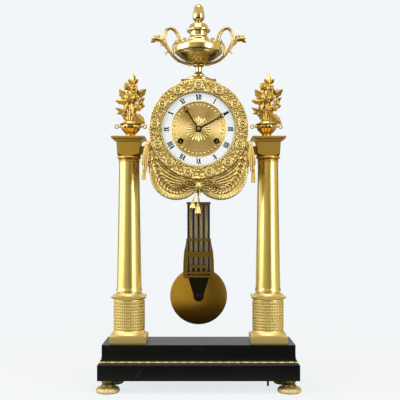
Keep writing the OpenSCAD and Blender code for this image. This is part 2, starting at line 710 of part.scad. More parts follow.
// Three strands of a tail, from their tops to their feet
module swag_tail(s, extra) {
  for (k = [0:2]) let(head = swag_scale * (tail_cast[0] + k * tail_cast[1]),
      foot = swag_scale * (tail_cast[2] + k * tail_cast[3] - [0, extra])) hull() {
    translate([s * head[0], -drum_front - swag_t / 2 - 0.1, head[1]]) tail_end(1.5);
    translate([s * foot[0], -drum_front - swag_t / 2 - 0.3, foot[1]]) tail_end(1.7);
  }
}
module tail_end(r) {
  scale(swag_scale) rotate([0, 0, 22.5]) cylinder(r = r, h = 1, $fn = 8);
}
module swag() {
  $fn = 40;
  swag_band = 5 * swag_scale;
  side_w = lobe_x + lobe_r + fringe_w;
  color(gilt) at_dial(0, 0) difference() {
    union() {
      front_prism(drum_front, ring_face) difference() {
        union() {
          circle(r = drum_r + 2);
          intersection() {
            circle(r = bezel_r + swag_band);
            translate([-bezel_r - swag_band, -bezel_r - swag_band]) square([2,
              0.76] * (bezel_r + swag_band));
          }
          for (s = [-1, 1]) translate([s * lobe_x, -lobe_drop]) circle(r = lobe_r);
        }
        circle(r = (spigot_r + seat) / cos(180 / $fn));
      }
      for (s = [-1, 1]) {
        front_prism(ring_face - 0.5, ring_face + fringe_t) intersection() {
          difference() {
            translate([s * lobe_x, -lobe_drop]) circle(r = lobe_r);
            translate([s * lobe_x, -lobe_drop]) circle(r = lobe_r - fringe_w);
            circle(r = bezel_r + 4);
          }
          translate([s > 0 ? 0 : -side_w, -lobe_drop - lobe_r - fringe_w]) square([side_w, lobe_r * 2]);
        }
        swag_side(s);
      }
      swag_tail(-1, 0);
      swag_tail(1, tail_extra);
    }
    front_rod(bezel_r + clear, ring_face, ring_face + 20);
  }
}
// Bow and tassels, modelled round the knot's centre
bow_cast_z = -77;
bow_cast_f = 5;
bow_loop = [[1.5, 0, 1], [9, -0.8, 7], [18, -0.8, 7], [19, -0.8, 1], [10, -0.8, -1.6], [1.5, 0, -1]];
left_cord = [[-1, 0, -1], [-4.5, 0, -10], [-7, 0, -17], [-8, 0, -22]];
right_cord = [[1, 0, -1], [1.6, 0, -10], [0, 0, -18], [-1, 0, -26]];
module tassel(end, long) {
  translate(end - [0, 0, 1.5]) {
    cylinder(r1 = 2, r2 = 0.9, h = 2.4, $fn = 12);
    for (i = [0:4]) rotate([0, 0, 72 * i]) hull() {
      translate([0.9, 0, 0]) sphere(r = 1, $fn = 5);
      translate([2.2, 0, -long]) sphere(r = 1.1, $fn = 5);
    }
    translate([0, 0, -long]) cylinder(r = 2.2, h = long, $fn = 12);
  }
}
module bow_and_tassels() {
  f = ring_face + bow_cast_f * swag_scale;
  color(gilt) at_dial(0, bow_cast_z * swag_scale) {
    front_rod(2.4 * swag_scale, ring_face + fringe_t + seat, f, $fn = 16);
    translate([0, -f, 0]) scale(swag_scale) {
      scale([4.6, 2.6, 3.8]) sphere(r = 1, $fn = 12);
      for (s = [-1, 1]) let(loop = curve([for (p = bow_loop) [s * p[0], p[1], p[2]]], 3))
        tube(loop, [for (i = loop) 1.5], 5, 0.9);
      for (cord = [left_cord, right_cord]) let(path = curve(cord, 3))
        tube(path, [for (i = path) 0.9], 5, 1);
      tassel(left_cord[3], 6);
      tassel(right_cord[3], 9);
    }
  }
}

// Urn on the drum
module urn_bore(z, h) {
  translate([0, 0, z - 1]) cylinder(r = urn_rod_r + seat, h = h + 2);
}
module saddle() {
  plate_t = 2.2;
  plate_d = 28;
  dome = curve([[saddle_r, -6.4], [saddle_r - 0.4, -4.6], [saddle_r - 3.4, -2.8], [saddle_r - 6.4, -1.4],
    [8.4, 0]], 4);
  foot = [[0, -22], [saddle_foot_r, -22], [saddle_foot_r, -8]];
  color(gilt) difference() {
    translate([0, 0, z_saddle]) {
      rotate_extrude() polygon(concat(foot, dome, [[0, 0]]));
      translate([0, 0, -6.9 - plate_t / 2]) cube([saddle_plate_w, plate_d, plate_t], center = true);
    }
    at_dial(0, 0) front_rod(drum_r + seat, -drum_back, drum_front);
    urn_bore(z_saddle - 24, 24);
  }
}
function stem_points() = curve([[8.2, 0], [8.2, 1.4], [6.6, 3.2], [5, 5.6], [4.8, stem_h - 7], [5.4,
  stem_h - 5],
  [8.2, stem_h - 3], [7.8, stem_h - 1.4], [6, stem_h]], 4);
function bowl_points() = concat(curve([[6, 0], [10.4, 0.9], [16.4, 2.9], [21.4, 5.6], [26.2, 8.9],
  [bowl_r - 3.8, 12.6]], 4),
  [[bowl_r - 3.8, 13.2]], curve([[bowl_r - 2.4, 13.2], [bowl_r - 0.7, 15.4], [bowl_r, bowl_h - 8],
    [bowl_r, bowl_h - 5.2],
  [bowl_r - 1.4, bowl_h - 2.6], [bowl_r - 6, bowl_h - 1], [22, bowl_h - 0.4], [16, bowl_h]], 4));
function lid_points() = concat([[16, 0]], curve([[16.6, 0.6], [16.8, 2.2], [16, 3.8]], 3), [[15, 4.2]],
  curve([[15.3, 5], [15.2, 6.8], [14.2, 8.2], [13, 9.4], [12.5, 11.4], [12.4, lid_h - 13]], 3),
  [[13.4, lid_h - 12.2], [lid_r - 0.5, lid_h - 11.6], [lid_r, lid_h - 11], [lid_r, lid_h - 10],
    [lid_r - 1.2, lid_h - 9.2]],
  curve([[14.6, lid_h - 8.4], [13.7, lid_h - 6], [12.6, lid_h - 3.2], [10.4, lid_h - 1.2], [7,
    lid_h - 0.3], [5, lid_h]], 4));
function grown(p, d) = [for (q = p) [q[0] + d, q[1]]];
module turned(z, h, p) {
  translate([0, 0, z]) rotate_extrude() polygon(concat([[0, 0]], p, [[0, h]]));
}
module urn_stem() {
  color(gilt) difference() {
    turned(z_saddle, stem_h, stem_points());
    urn_bore(z_saddle, stem_h);
  }
}
module urn_bowl() {
  color(gilt) difference() {
    turned(z_bowl, bowl_h, bowl_points());
    urn_bore(z_bowl, bowl_h);
  }
}
module urn_lid() {
  color(gilt) difference() {
    turned(z_lid, lid_h, lid_points());
    urn_bore(z_lid, lid_h);
  }
}
module acorn() {
  body = curve([[5, 0], [3.6, 1.4], [4.6, 2.6], [acorn_r - 1.2, 5], [acorn_r, 9], [acorn_r - 0.3, 13],
    [acorn_r - 1.5, acorn_h - 8],
    [acorn_r - 2.6, acorn_h - 4], [3.4, acorn_h - 1.1], [0.6, acorn_h]], 4);
  color(gilt) difference() {
    turned(z_acorn, acorn_h, body);
    urn_bore(z_acorn, 8);
  }
}
module urn_rod() {
  shelf = dial_z + sqrt(pow(drum_r - drum_wall, 2) - pow(nut_w / 2, 2)) - seat;
  color(steel) {
    translate([0, 0, shelf - nut_t - 2]) cylinder(r = urn_rod_r, h = z_acorn + 8 - shelf + nut_t + 2);
    translate([0, 0, shelf - nut_t / 2]) cube([nut_w, nut_w, nut_t], center = true);
  }
}
// Points of the left handle, outward from the urn's axis and up from the bowl's foot
horn = [[9, -1.4], [15, -0.3], [22.3, 1.9], [29.3, 5.4], [35.6, 11], [41.2, 18], [46.1, 25], [51, 30.6],
  [54.5, 33.7], [58.7, 35], [66.4, 33.5]];
horn_r = [1.4, 1.5, 1.6, 1.8, 2, 2, 2, 2, 2.2, 2.8, 4.3];
loop_line = [[40.5, 18], [44.9, 26.4], [47.2, 33.4], [47, 40.4], [44.7, 46.7], [39.8, 49.9], [34.9, 48.1],
  [30.7, 43.2], [27.9, 36.9], [25.8, 32], [22.3, 30.6], [18.9, 32], [18.7, 34.8], [20.9, 35.8]];
strap_line = [[20.9, 28.4], [29.3, 29.5], [34.2, 27.8], [36.3, 23.6], [36.3, 18], [34.9, 12.6]];
// Leaves on the left handle: place outward and up, and angle
sprigs = [[33.5, 29.6, 135], [42.6, 17, -35], [27, 6, -35], [48, 27, 0], [30, 40, 60], [38, 15, -20],
  [24, 31, 80], [44, 45, 40]];
function outward(p, s) = [for (q = p) [s * q[0], 0, q[1]]];
function between(v, n) = [for (i = [0:len(v) - 2]) for (j = [0:n - 1]) v[i] + (v[i + 1] - v[i]) * j / n,
  v[len(v) - 1]];
module urn_handle(s) {
  $fn = 36;
  color(gilt) difference() {
    translate([0, 0, z_bowl]) {
      tube(curve(outward(horn, s), 2), between(horn_r, 2), 7, 1);
      loop = curve(outward(loop_line, s), 2);
      tube(loop, [for (i = loop) 1.35], 5, 1.2);
      strap = curve(outward(strap_line, s), 2);
      tube(strap, [for (i = strap) 1.25], 5, 1.3);
      for (l = sprigs)
        translate([s * l[0], 0, l[1]]) rotate([0, s > 0 ? -l[2] : l[2] - 180, 0]) hull() {
          translate([-1, 0, 0]) sphere(r = 1, $fn = 6);
          translate([2.4, 0, 0]) scale([2, 1.5, 1.5]) sphere(r = 1, $fn = 6);
          translate([5.4, 0, 0]) sphere(r = 0.5, $fn = 6);
        }
    }
    rotate([0, 0, 3]) {
      turned(z_saddle, stem_h, grown(stem_points(), 2 * seat));
      turned(z_bowl, bowl_h + seat, grown(bowl_points(), 2 * seat));
      turned(z_lid, lid_h, grown(lid_points(), 2 * seat));
    }
  }
}
module urn_handle_left() { urn_handle(-1); }
module urn_handle_right() { urn_handle(1); }

// Dial and hands
module winding_holes(r) {
  for (s = [-1, 1]) translate([s * winding_x, -winding_drop]) circle(r = r);
}
module dial_plate() {
  color(brass) at_dial(0, 0) front_prism(plate_face - dial_plate_t, plate_face) difference() {
    circle(r = drum_r - drum_wall - seat);
    circle(r = hour_pipe_r + 1.2);
    winding_holes(collar_r + seat);
  }
}
module dial_ring() {
  color([0.94, 0.93, 0.90]) at_dial(0, 0) front_prism(plate_face, dial_face) difference() {
    circle(r = enamel_r);
    circle(r = enamel_in);
  }
}
module dial_centre() {
  color(gilt) at_dial(0, 0) front_prism(plate_face, dial_face) difference() {
    circle(r = enamel_in - seat);
    circle(r = hour_pipe_r + 1.2);
    winding_holes(collar_r + seat);
  }
}
module winding_collars() {
  color([0.06, 0.06, 0.07]) at_dial(0, 0) for (s = [-1, 1]) translate([s * winding_x, 0, -winding_drop])
    front_prism(plate_face - dial_plate_t, dial_face + 0.5) difference() {
      circle(r = collar_r);
      circle(r = square_w * 0.71 + clear);
    }
}
hour_f = dial_face + 1.8;
minute_f = hour_f + hand_t + 1;
module hand_outline(long, moon_at, hub_r, bore) {
  difference() {
    union() {
      circle(r = hub_r);
      polygon([[-1, 0], [1, 0], [0.7, moon_at - moon_r + 0.4], [-0.7, moon_at - moon_r + 0.4]]);
      translate([0, moon_at]) circle(r = moon_r);
      polygon([[-1.3, moon_at + moon_r - 0.5], [1.3, moon_at + moon_r - 0.5], [0.25, long], [-0.25, long]]);
    }
    translate([0, moon_at + 0.5]) circle(r = moon_r - 1);
    circle(r = bore);
  }
}
module hour_hand() {
  color(steel) at_dial(0, 0) front_prism(hour_f, hour_f + hand_t) rotate(-hour_at)
    hand_outline(hour_len, hour_len - 6.1, 4.4, hour_pipe_r + seat / 2);
}
module minute_hand() {
  color(steel) at_dial(0, 0) front_prism(minute_f, minute_f + hand_t) rotate(-minute_at)
    hand_outline(minute_len, minute_len - 10.7, 3.8, cannon_r + seat / 2);
}
module hand_nut() {
  base = minute_f + hand_t;
  color(steel) at_dial(0, 0) difference() {
    front_turn() polygon([[0, base], [2.6, base], [2.6, base + 0.8], [1.9, base + 1.7], [0.8, base + 2.1],
      [0, base + 2.1]]);
    front_rod(arbor_r + seat / 2, base - 1, base + 1.3);
  }
}

// Movement
module axle(front, back, r, tip) {
  front_rod(r, back + 0.3, front - 0.3);
  front_rod(tip, back - plate_t + 0.3, front + plate_t - 0.3);
}
module centre_arbor() {
  cannon_back = plate_front + 0.6;
  color(steel) at_dial(0, 0) {
    front_rod(arbor_r, back_face + 0.3, minute_f + hand_t + 1.2);
    front_rod(pivot_r, back_rear + 0.3, back_face + 1);
    front_prism(second_f - 0.5, second_f + wheel_t + 0.5)
      wheel_disc(leaves, second_m, 0.2, 0.09, 0.7, second_angle + 180 / leaves);
    front_rod(cannon_r, cannon_back, minute_f + hand_t - seat);
    front_prism(cannon_back, cannon_back + 2) wheel_disc(cannon_teeth, cannon_m, 0.2, 0.09, 0.7,
      90 + 180 / cannon_teeth);
  }
}
module minute_wheel() {
  back = plate_front + 1;
  color(brass) at_dial(0, motion_dist) difference() {
    union() {
      front_prism(back, back + wheel_t) wheel_disc(3 * cannon_teeth, cannon_m, 0.22, 0.07, 0.9, 270);
      front_prism(back, back + 4.4) wheel_disc(minute_leaves, hour_m, 0.2, 0.09, 0.7,
        270 + 180 / minute_leaves);
    }
    front_rod(pivot_r + run, back - 1, back + 6);
  }
}
module hour_wheel() {
  back = plate_front + 3.4;
  color(brass) at_dial(0, 0) difference() {
    union() {
      front_prism(back, back + wheel_t) wheel_disc(4 * minute_leaves, hour_m, 0.22, 0.07, 0.9, 90);
      front_rod(hour_pipe_r, back, hour_f + hand_t + 0.3);
    }
    front_rod(cannon_r + run, back - 1, hour_f + hand_t + 2);
  }
}
module second_wheel() {
  color(brass) at_dial(second_at[0], second_at[1]) {
    axle(plate_front - plate_t, back_face, arbor_r, pivot_r);
    front_prism(second_f, second_f + wheel_t) wheel_disc(second_teeth, second_m, 0.22, 0.07, 0.9,
      second_angle + 180);
    front_prism(great_f - 0.5, great_f + wheel_t + 0.5)
      wheel_disc(leaves, great_m, 0.2, 0.09, 0.7, great_angle + 180 + 180 / leaves);
  }
}
module barrel(s) {
  color(brass) at_dial(s * winding_x, -winding_drop) difference() {
    union() {
      front_prism(great_f, great_f + wheel_t)
        wheel_disc(great_teeth, great_m, 0.22, 0.07, 0.9, s > 0 ? great_angle : 180 - great_angle);
      front_rod(barrel_r, great_f + wheel_t, plate_front - plate_t - 2);
    }
    front_rod(barrel_arbor_r + run, great_f - 1, plate_front);
  }
}
module going_barrel() { barrel(1); }
module strike_barrel() { barrel(-1); }
module winding_arbor(s) {
  color(steel) at_dial(s * winding_x, -winding_drop) {
    front_rod(barrel_arbor_r, back_face + 0.3, plate_front + 1);
    front_rod(1.5, back_rear + 0.3, back_face + 1);
    front_prism(plate_front, dial_face - 1.5) square(square_w, center = true);
  }
}
module going_arbor() { winding_arbor(1); }
module strike_arbor() { winding_arbor(-1); }
pillar_angles = [20, 160, 250, 290];
foot_angles = [45, 135, 270];
module front_plate() {
  front = plate_front;
  back = plate_front - plate_t;
  color(brass) at_dial(0, 0) {
    front_prism(back, front) difference() {
      circle(r = plate_r);
      circle(r = arbor_r + run);
      winding_holes(barrel_arbor_r + run);
      translate(second_at) circle(r = pivot_r + run);
      translate([0, escape_up]) circle(r = pivot_r + run);
      translate([0, pivot_rise]) circle(r = pivot_r + run);
      translate(hammer_at) circle(r = pivot_r + run);
    }
    for (a = pillar_angles) rotate([0, -a, 0]) translate([plate_r - 6, 0, 0]) front_rod(3, back_face,
      back + 1);
    for (a = foot_angles) rotate([0, -a, 0]) translate([plate_r - 5, 0, 0]) front_rod(2, front - 1,
      plate_face - dial_plate_t);
    translate([0, 0, motion_dist]) front_rod(pivot_r, front - 1, front + 6);
  }
}
module back_plate() {
  color(brass) at_dial(0, 0) front_prism(back_rear, back_face) difference() {
    circle(r = plate_r);
    circle(r = pivot_r + run);
    winding_holes(1.5 + run);
    translate(second_at) circle(r = pivot_r + run);
    translate([0, escape_up]) circle(r = pivot_r + run);
    translate([0, pivot_rise]) circle(r = arbor_r + run);
    translate(hammer_at) circle(r = arbor_r + run);
  }
}
module escape_wheel() {
  color(brass) at_dial(0, escape_up) {
    axle(plate_front - plate_t, back_face, arbor_r, pivot_r);
    front_prism(escape_f, escape_f + 1) difference() {
      polygon(wheel_points(escape_teeth, escape_r - 1.6, escape_r, 0.32, 0.06));
      for (i = [0:3]) rotate(45 + 90 * i) translate([escape_r * 0.5, 0]) circle(r = escape_r * 0.19);
    }
  }
}
module pallet_arbor() {
  arm = escape_r * [[0, 0.24], [1.013, -0.453], [0.96, -0.853], [0.8, -0.773], [0.787, -0.533], [0,
    -0.213]];
  crutch_back = back_rear - 2.5;
  fork = rod_r + clear + 0.7;
  color(steel) at_dial(0, pivot_rise) {
    front_rod(arbor_r, crutch_back, plate_front - plate_t - 0.3);
    front_rod(pivot_r, plate_front - plate_t - 1, plate_front - 0.3);
    front_prism(escape_f - 0.2, escape_f + 1.2) {
      circle(r = 2.4);
      polygon(arm);
      mirror([1, 0]) polygon(arm);
    }
    front_prism(crutch_back, crutch_back + 1.5) {
      circle(r = 2.4);
      translate([-1.2, -pivot_rise + 4]) square([2.4, pivot_rise - 4]);
      translate([-fork - 1, -pivot_rise + 2]) square([2 * fork + 2, 3]);
    }
    for (s = [-1, 1]) translate([s * fork, 0, -pivot_rise + 3.5]) front_rod(0.7, -grid_y - 2.6,
      crutch_back + 0.5);
  }
}
cock_low = pivot_rise + 7;
cock_high = pivot_rise + 13.5;
module suspension_cock() {
  color(brass) at_dial(0, 0) difference() {
    front_prism(-grid_y - 3.6, back_rear) translate([-5.5, cock_low]) square([11, cock_high - cock_low]);
    translate([-1.6, grid_y - 3.6, cock_low - 1]) cube([3.2, 8, cock_high - cock_low + 2]);
  }
}
module bell() {
  rim = -grid_y - 4.5;
  crown = rim - 10.5;
  outer = curve([[bell_r, rim], [bell_r - 0.8, rim - 3.6], [bell_r - 5, rim - 7.4], [bell_r / 2,
    crown + 0.5], [3, crown]], 5);
  inner = curve([[3, crown + bell_wall], [bell_r / 2 - 0.6, crown + bell_wall + 0.5], [bell_r - 6.2,
    rim - 6.2],
    [bell_r - bell_wall - 0.8, rim - 3], [bell_r - bell_wall, rim]], 5);
  far = norm(stand_at);
  color(brass) at_dial(0, 0) {
    front_turn() polygon(concat(outer, [[0, crown], [0, crown + bell_wall]], inner));
    translate([stand_at[0], 0, stand_at[1]]) front_rod(2, crown - 2, back_rear);
    front_prism(crown - 2, crown - 0.4) rotate(atan2(stand_at[1], stand_at[0])) translate([0,
      -2.2]) square([far, 4.4]);
    front_rod(3, crown - 2, crown + 0.5);
  }
}
module hammer() {
  rim = -grid_y - 4.5;
  head_dir = 190;
  head = (bell_r + 4.2) * [cos(head_dir), sin(head_dir)];
  reach = head - hammer_at;
  color(steel) at_dial(0, 0) {
    translate([hammer_at[0], 0, hammer_at[1]]) {
      front_rod(arbor_r, rim - 4, plate_front - plate_t - 0.3);
      front_rod(pivot_r, plate_front - plate_t - 1, plate_front - 0.3);
      front_prism(rim - 4, rim - 2.4) {
        circle(r = 2.4);
        rotate(atan2(reach[1], reach[0])) translate([0, -1.2]) square([norm(reach), 2.4]);
      }
    }
    translate([head[0], -rim + 2.6, head[1]]) rotate([0, 90 - head_dir, 0]) cylinder(r = 2.4, h = 6.4,
      center = true);
  }
}

// Pendulum
module pendulum_rod() {
  pin_z = cock_high - pivot_rise + 1.4;
  color(steel) translate([0, grid_y, z_pivot]) {
    translate([-0.2, -3, -10]) cube([0.4, 6, 10 + pin_z]);
    translate([-4, 0, pin_z]) rotate([0, 90, 0]) cylinder(r = 0.8, h = 8);
    translate([-2.5, -3, -16]) cube([5, 6, 7]);
    translate([0, 0, 1.6 - grid_top]) cylinder(r = rod_r, h = grid_top - 16);
  }
}
steel_places = [-4, -2, 0, 2, 4];
brass_places = [-3, -1, 1, 3];
module grid_rods(places, r, low, high) {
  for (k = places) translate([k * grid_pitch, grid_y, z_grid - low]) cylinder(r = r, h = low + high);
}
module steel_rods() { color(steel) grid_rods(steel_places, steel_rod_r, grid_len - 0.2, 1.4); }
module brass_rods() { color(brass) grid_rods(brass_places, brass_rod_r, grid_len - 13.5, 1.4); }
// Each bar of the gridiron: height above the gridiron's foot, half width and height
bars = [[grid_len, 17.15, 3], [52.7, 17.5, 3.5], [31.7, 20.2, 8], [14.7, 13, 4], [5.7, 20, 3], [0.5, 21.5,
  2.6]];
// Outer edge of the gridiron's cheeks: half width and height above the gridiron's foot
cheek_edge = [[22, 0.5], [22, 6.7], [21.6, 22.7], [20.6, 35.7], [18.6, 44.7], [17.4, 51.7]];
module grid_bars() {
  inner = 4 * grid_pitch + steel_rod_r + 0.15;
  cheek = concat([[inner, cheek_edge[0][1]]], cheek_edge, [[inner, cheek_edge[len(cheek_edge) - 1][1]]]);
  color(gilt) translate([0, 0, z_grid - grid_len]) difference() {
    union() {
      for (b = bars) translate([-b[1], grid_y - bar_t / 2, b[0] - b[2] / 2]) cube([2 * b[1], bar_t, b[2]]);
      front_prism(-grid_y - bar_t / 2, -grid_y + bar_t / 2) polygon(cheek);
      mirror([1, 0, 0]) front_prism(-grid_y - bar_t / 2, -grid_y + bar_t / 2) polygon(cheek);
    }
    translate([0, 0, grid_len - z_grid]) {
      grid_rods(steel_places, steel_rod_r + seat / 2, grid_len + 10, 10);
      grid_rods(brass_places, brass_rod_r + seat / 2, grid_len + 10, 10);
    }
  }
}
bob_f = -grid_y - 6.6;
module bob() {
  rim = 0.8;
  steps = 14;
  side = [for (i = [0:steps]) let(r = bob_r * i / steps) [r, rim + (bob_t / 2 - rim) * (1 - pow(i / steps,
    2))]];
  back = [for (i = [steps:-1:0]) [side[i][0], -side[i][1]]];
  color(gilt) translate([0, 0, z_bob]) difference() {
    front_turn() translate([0, bob_f]) polygon(concat(side, back));
    front_rod(1.5 + seat, bob_f + 1, bob_f + bob_t);
  }
}
module bob_hanger() {
  face = bob_f + bob_t / 2 + 0.3;
  top = z_grid - grid_len - 0.8 - z_bob - seat;
  tip_r = 7.4;
  head_r = 3.2;
  color([0.06, 0.06, 0.07]) translate([0, 0, z_bob]) {
    front_prism(face, face + 1.3) {
      polygon([[-15, top], [15, top], [tip_r - 0.2, 2], [0.2 - tip_r, 2]]);
      circle(r = tip_r);
    }
    front_rod(1.5, bob_f + 1.2, face + 0.5);
    front_turn() polygon([[0, face + 1], [head_r, face + 1], [head_r, face + 1.7], [head_r - 1,
      face + 2.4], [0, face + 2.5]]);
  }
}

lower_slab();
upper_slab();
bead_strip();
feet();
pedestal_left();
pedestal_right();
pedestal_cap_left();
pedestal_cap_right();
shaft_left();
shaft_right();
capital_left();
capital_right();
tie_rods();
vase_left();
vase_right();
bouquet_left();
bouquet_right();
drum_case();
brackets();
back_ring();
back_cover();
bezel();
swag();
bow_and_tassels();
saddle();
urn_stem();
urn_bowl();
urn_lid();
acorn();
urn_handle_left();
urn_handle_right();
urn_rod();
dial_plate();
dial_ring();
dial_centre();
winding_collars();
hour_hand();
minute_hand();
hand_nut();
centre_arbor();
minute_wheel();
hour_wheel();
second_wheel();
going_barrel();
strike_barrel();
going_arbor();
strike_arbor();
front_plate();
back_plate();
escape_wheel();
pallet_arbor();
suspension_cock();
bell();
hammer();
pendulum_rod();
steel_rods();
brass_rods();
grid_bars();
bob();
bob_hanger();
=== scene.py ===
# %% [markdown]
# # A portico clock, dressed around its CAD frame
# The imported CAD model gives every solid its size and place. This lesson adds what a caster, a chaser and a gilder
# would add: leaves, flowers, drapery, numerals and the finish of each metal. Every length is written in
# millimetres and turned into Blender's metres in one place.

# %% Load the frame
import json
import math
import random
import bmesh
import bpy
from mathutils import Matrix, Vector, noise


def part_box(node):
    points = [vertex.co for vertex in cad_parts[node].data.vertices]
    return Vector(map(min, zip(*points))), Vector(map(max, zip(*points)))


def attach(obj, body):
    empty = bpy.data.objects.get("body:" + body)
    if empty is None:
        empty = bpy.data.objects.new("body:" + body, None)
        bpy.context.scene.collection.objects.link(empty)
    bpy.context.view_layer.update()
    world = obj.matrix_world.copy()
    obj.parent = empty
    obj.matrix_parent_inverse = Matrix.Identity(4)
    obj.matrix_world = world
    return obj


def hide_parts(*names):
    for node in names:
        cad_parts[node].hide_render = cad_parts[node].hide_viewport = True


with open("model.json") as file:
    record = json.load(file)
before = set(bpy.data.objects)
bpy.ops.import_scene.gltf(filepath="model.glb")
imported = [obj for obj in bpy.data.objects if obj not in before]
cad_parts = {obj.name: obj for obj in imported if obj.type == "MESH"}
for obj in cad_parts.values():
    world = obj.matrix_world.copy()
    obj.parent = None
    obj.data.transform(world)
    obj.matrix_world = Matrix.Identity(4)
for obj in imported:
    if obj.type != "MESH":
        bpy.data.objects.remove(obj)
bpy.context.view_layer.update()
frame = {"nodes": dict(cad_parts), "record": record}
nodes = frame["nodes"]
MM = 0.001


def middle(node):
    """Centre of a CAD node's box, in mm."""
    low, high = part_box(node)
    return (low + high) / 2 / MM


DIAL = middle("dial_ring")
DIAL_Z = DIAL.z
DIAL_FACE = -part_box("dial_ring")[0].y / MM
RING_FACE = DIAL_FACE + 1
CAPITAL_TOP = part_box("capital_left")[1].z / MM
print("frame:", len(nodes), "nodes, dial centre at", [round(v, 1) for v in DIAL])

# %% [markdown]
# ## The camera
# The photograph looks level at the clock from the front, about a metre away. A moderate lens keeps the columns
# nearly upright, and a small shift puts the clock in the same place in the frame.

# %% Camera
lens = bpy.data.cameras.new("studio_camera")
lens.lens = 64.3
lens.sensor_width = 36
lens.shift_x = 0.0035
lens.shift_y = 0.05
camera = bpy.data.objects.new("studio_camera", lens)
camera.location = (0, -1.0, 0.234)
camera.rotation_euler = (math.radians(90), 0, 0)
bpy.context.scene.collection.objects.link(camera)
bpy.context.scene.camera = camera
bpy.context.scene.view_settings.view_transform = "Standard"
print("camera at", tuple(camera.location))

# %% [markdown]
# ## Colours and nodes
# Colours are written as the sRGB hex values that a picture editor shows. Blender's shaders work in linear light,
# so one function converts them. One more function adds a shader node, with its settings and links in one line.
# A Mix node keeps its colours under numbers, because it has inputs of the same name for plain values.

# %% Colour and node helpers
COL_A, COL_B, COL_OUT = 6, 7, 2


def tint(hex_code):
    """An sRGB hex colour as linear red, green, blue and alpha."""
    parts = [int(hex_code[i:i + 2], 16) / 255 for i in (1, 3, 5)]
    return [c / 12.92 if c <= 0.04045 else ((c + 0.055) / 1.055) ** 2.4 for c in parts] + [1]


def add(tree, kind, inputs=(), **settings):
    """Adds a node; each input is a plain value or another node's output."""
    made = tree.nodes.new(kind)
    for key, value in settings.items():
        setattr(made, key, value)
    for key, value in dict(inputs).items():
        if isinstance(value, bpy.types.NodeSocket):
            tree.links.new(value, made.inputs[key])
        else:
            made.inputs[key].default_value = value
    return made


def new_material(name):
    """An empty node material and its tree."""
    material = bpy.data.materials.new(name)
    material.use_nodes = True
    material.node_tree.nodes.clear()
    return material, material.node_tree


print("pale sample:", [round(c, 3) for c in tint("#f2f6f9")])

# %% [markdown]
# ## Studio: background, floor and lamps
# Polished gilding is a mirror, so it shows the room. The room here is a pale backdrop behind the clock, warm walls
# around the camera and large white soft boxes at both sides. The walls are one colour ramp over the bearing round
# the clock, with a dim roof above and a brown table below. The backdrop's white reaches the camera and the
# reflections through the light path, so that no extra light falls on the clock to make it.

# %% Background
PALE = tint("#f2f6f9")
# Bearing in degrees, 0 towards the camera and 90 to the right, and how bright the wall is there. A level over 1
# is a soft box as the metal sees it.
WALLS = ((-180, 0.14), (-128, 0.14), (-112, 1.95), (-78, 1.95), (-66, 0.6), (-22, 0.54), (-5, 0.44), (5, 0.26),
         (12, 0.14), (31, 0.14), (40, 1.85), (60, 1.85), (68, 0.6), (88, 0.55), (104, 0.85), (122, 0.2),
         (180, 0.14))
BOX_WHITE, WALL_WARM = (1, 1, 1), (1, 0.88, 0.42)
ROOF, TABLE = [0.66, 0.55, 0.32, 1], tint("#3c3222")
world = bpy.data.worlds.new("studio")
bpy.context.scene.world = world
world.use_nodes = True
tree = world.node_tree
tree.nodes.clear()
rays = add(tree, "ShaderNodeLightPath")
way = add(tree, "ShaderNodeSeparateXYZ", {0: add(tree, "ShaderNodeTexCoord").outputs["Generated"]})
front = add(tree, "ShaderNodeMath", {0: way.outputs["Y"], 1: -1.0}, operation="MULTIPLY")
bearing = add(tree, "ShaderNodeMath", {0: way.outputs["X"], 1: front.outputs[0]}, operation="ARCTAN2")
turn = add(tree, "ShaderNodeMapRange", {
    "Value": bearing.outputs[0], "From Min": -math.pi, "From Max": math.pi})
walls = add(tree, "ShaderNodeValToRGB", {0: turn.outputs[0]})
for degrees, level in WALLS[1:-1]:
    walls.color_ramp.elements.new((degrees + 180) / 360)
for stop, (degrees, level) in zip(walls.color_ramp.elements, WALLS):
    stop.color = [level * c for c in (BOX_WHITE if level > 1 else WALL_WARM)] + [1]
height = add(tree, "ShaderNodeMapRange", {
    "Value": way.outputs["Z"], "From Min": 0.24, "From Max": 0.6}, interpolation_type="SMOOTHSTEP")
roofed = add(tree, "ShaderNodeMix", {
    "Factor": height.outputs[0], COL_A: walls.outputs[0], COL_B: ROOF}, data_type="RGBA")
under = add(tree, "ShaderNodeMapRange", {
    "Value": way.outputs["Z"], "From Min": -0.4, "From Max": -0.12}, interpolation_type="SMOOTHSTEP")
room = add(tree, "ShaderNodeMix", {
    "Factor": under.outputs[0], COL_A: TABLE, COL_B: roofed.outputs[COL_OUT]}, data_type="RGBA")
# The camera sees the backdrop all round. Metal and glass see it behind the clock, above the table.
mirrored = add(tree, "ShaderNodeMath", {
    0: rays.outputs["Is Glossy Ray"], 1: rays.outputs["Is Transmission Ray"]}, operation="MAXIMUM")
behind = add(tree, "ShaderNodeMapRange", {"Value": way.outputs["Y"], "From Min": 0.55, "From Max": 0.95})
raised = add(tree, "ShaderNodeMapRange", {"Value": way.outputs["Z"], "From Min": 0.06, "From Max": 0.26})
sweep = add(tree, "ShaderNodeMath", {0: behind.outputs[0], 1: raised.outputs[0]}, operation="MULTIPLY")
shown = add(tree, "ShaderNodeMath", {0: mirrored.outputs[0], 1: sweep.outputs[0]}, operation="MULTIPLY")
shown = add(tree, "ShaderNodeMath", {
    0: shown.outputs[0], 1: rays.outputs["Is Camera Ray"]}, operation="MAXIMUM")
sky = add(tree, "ShaderNodeMix", {
    "Factor": shown.outputs[0], COL_A: room.outputs[COL_OUT], COL_B: PALE}, data_type="RGBA")
back = add(tree, "ShaderNodeBackground", {"Color": sky.outputs[COL_OUT], "Strength": 1.0})
add(tree, "ShaderNodeOutputWorld", {"Surface": back.outputs[0]})
print("studio walls:", len(WALLS), "levels round the clock")

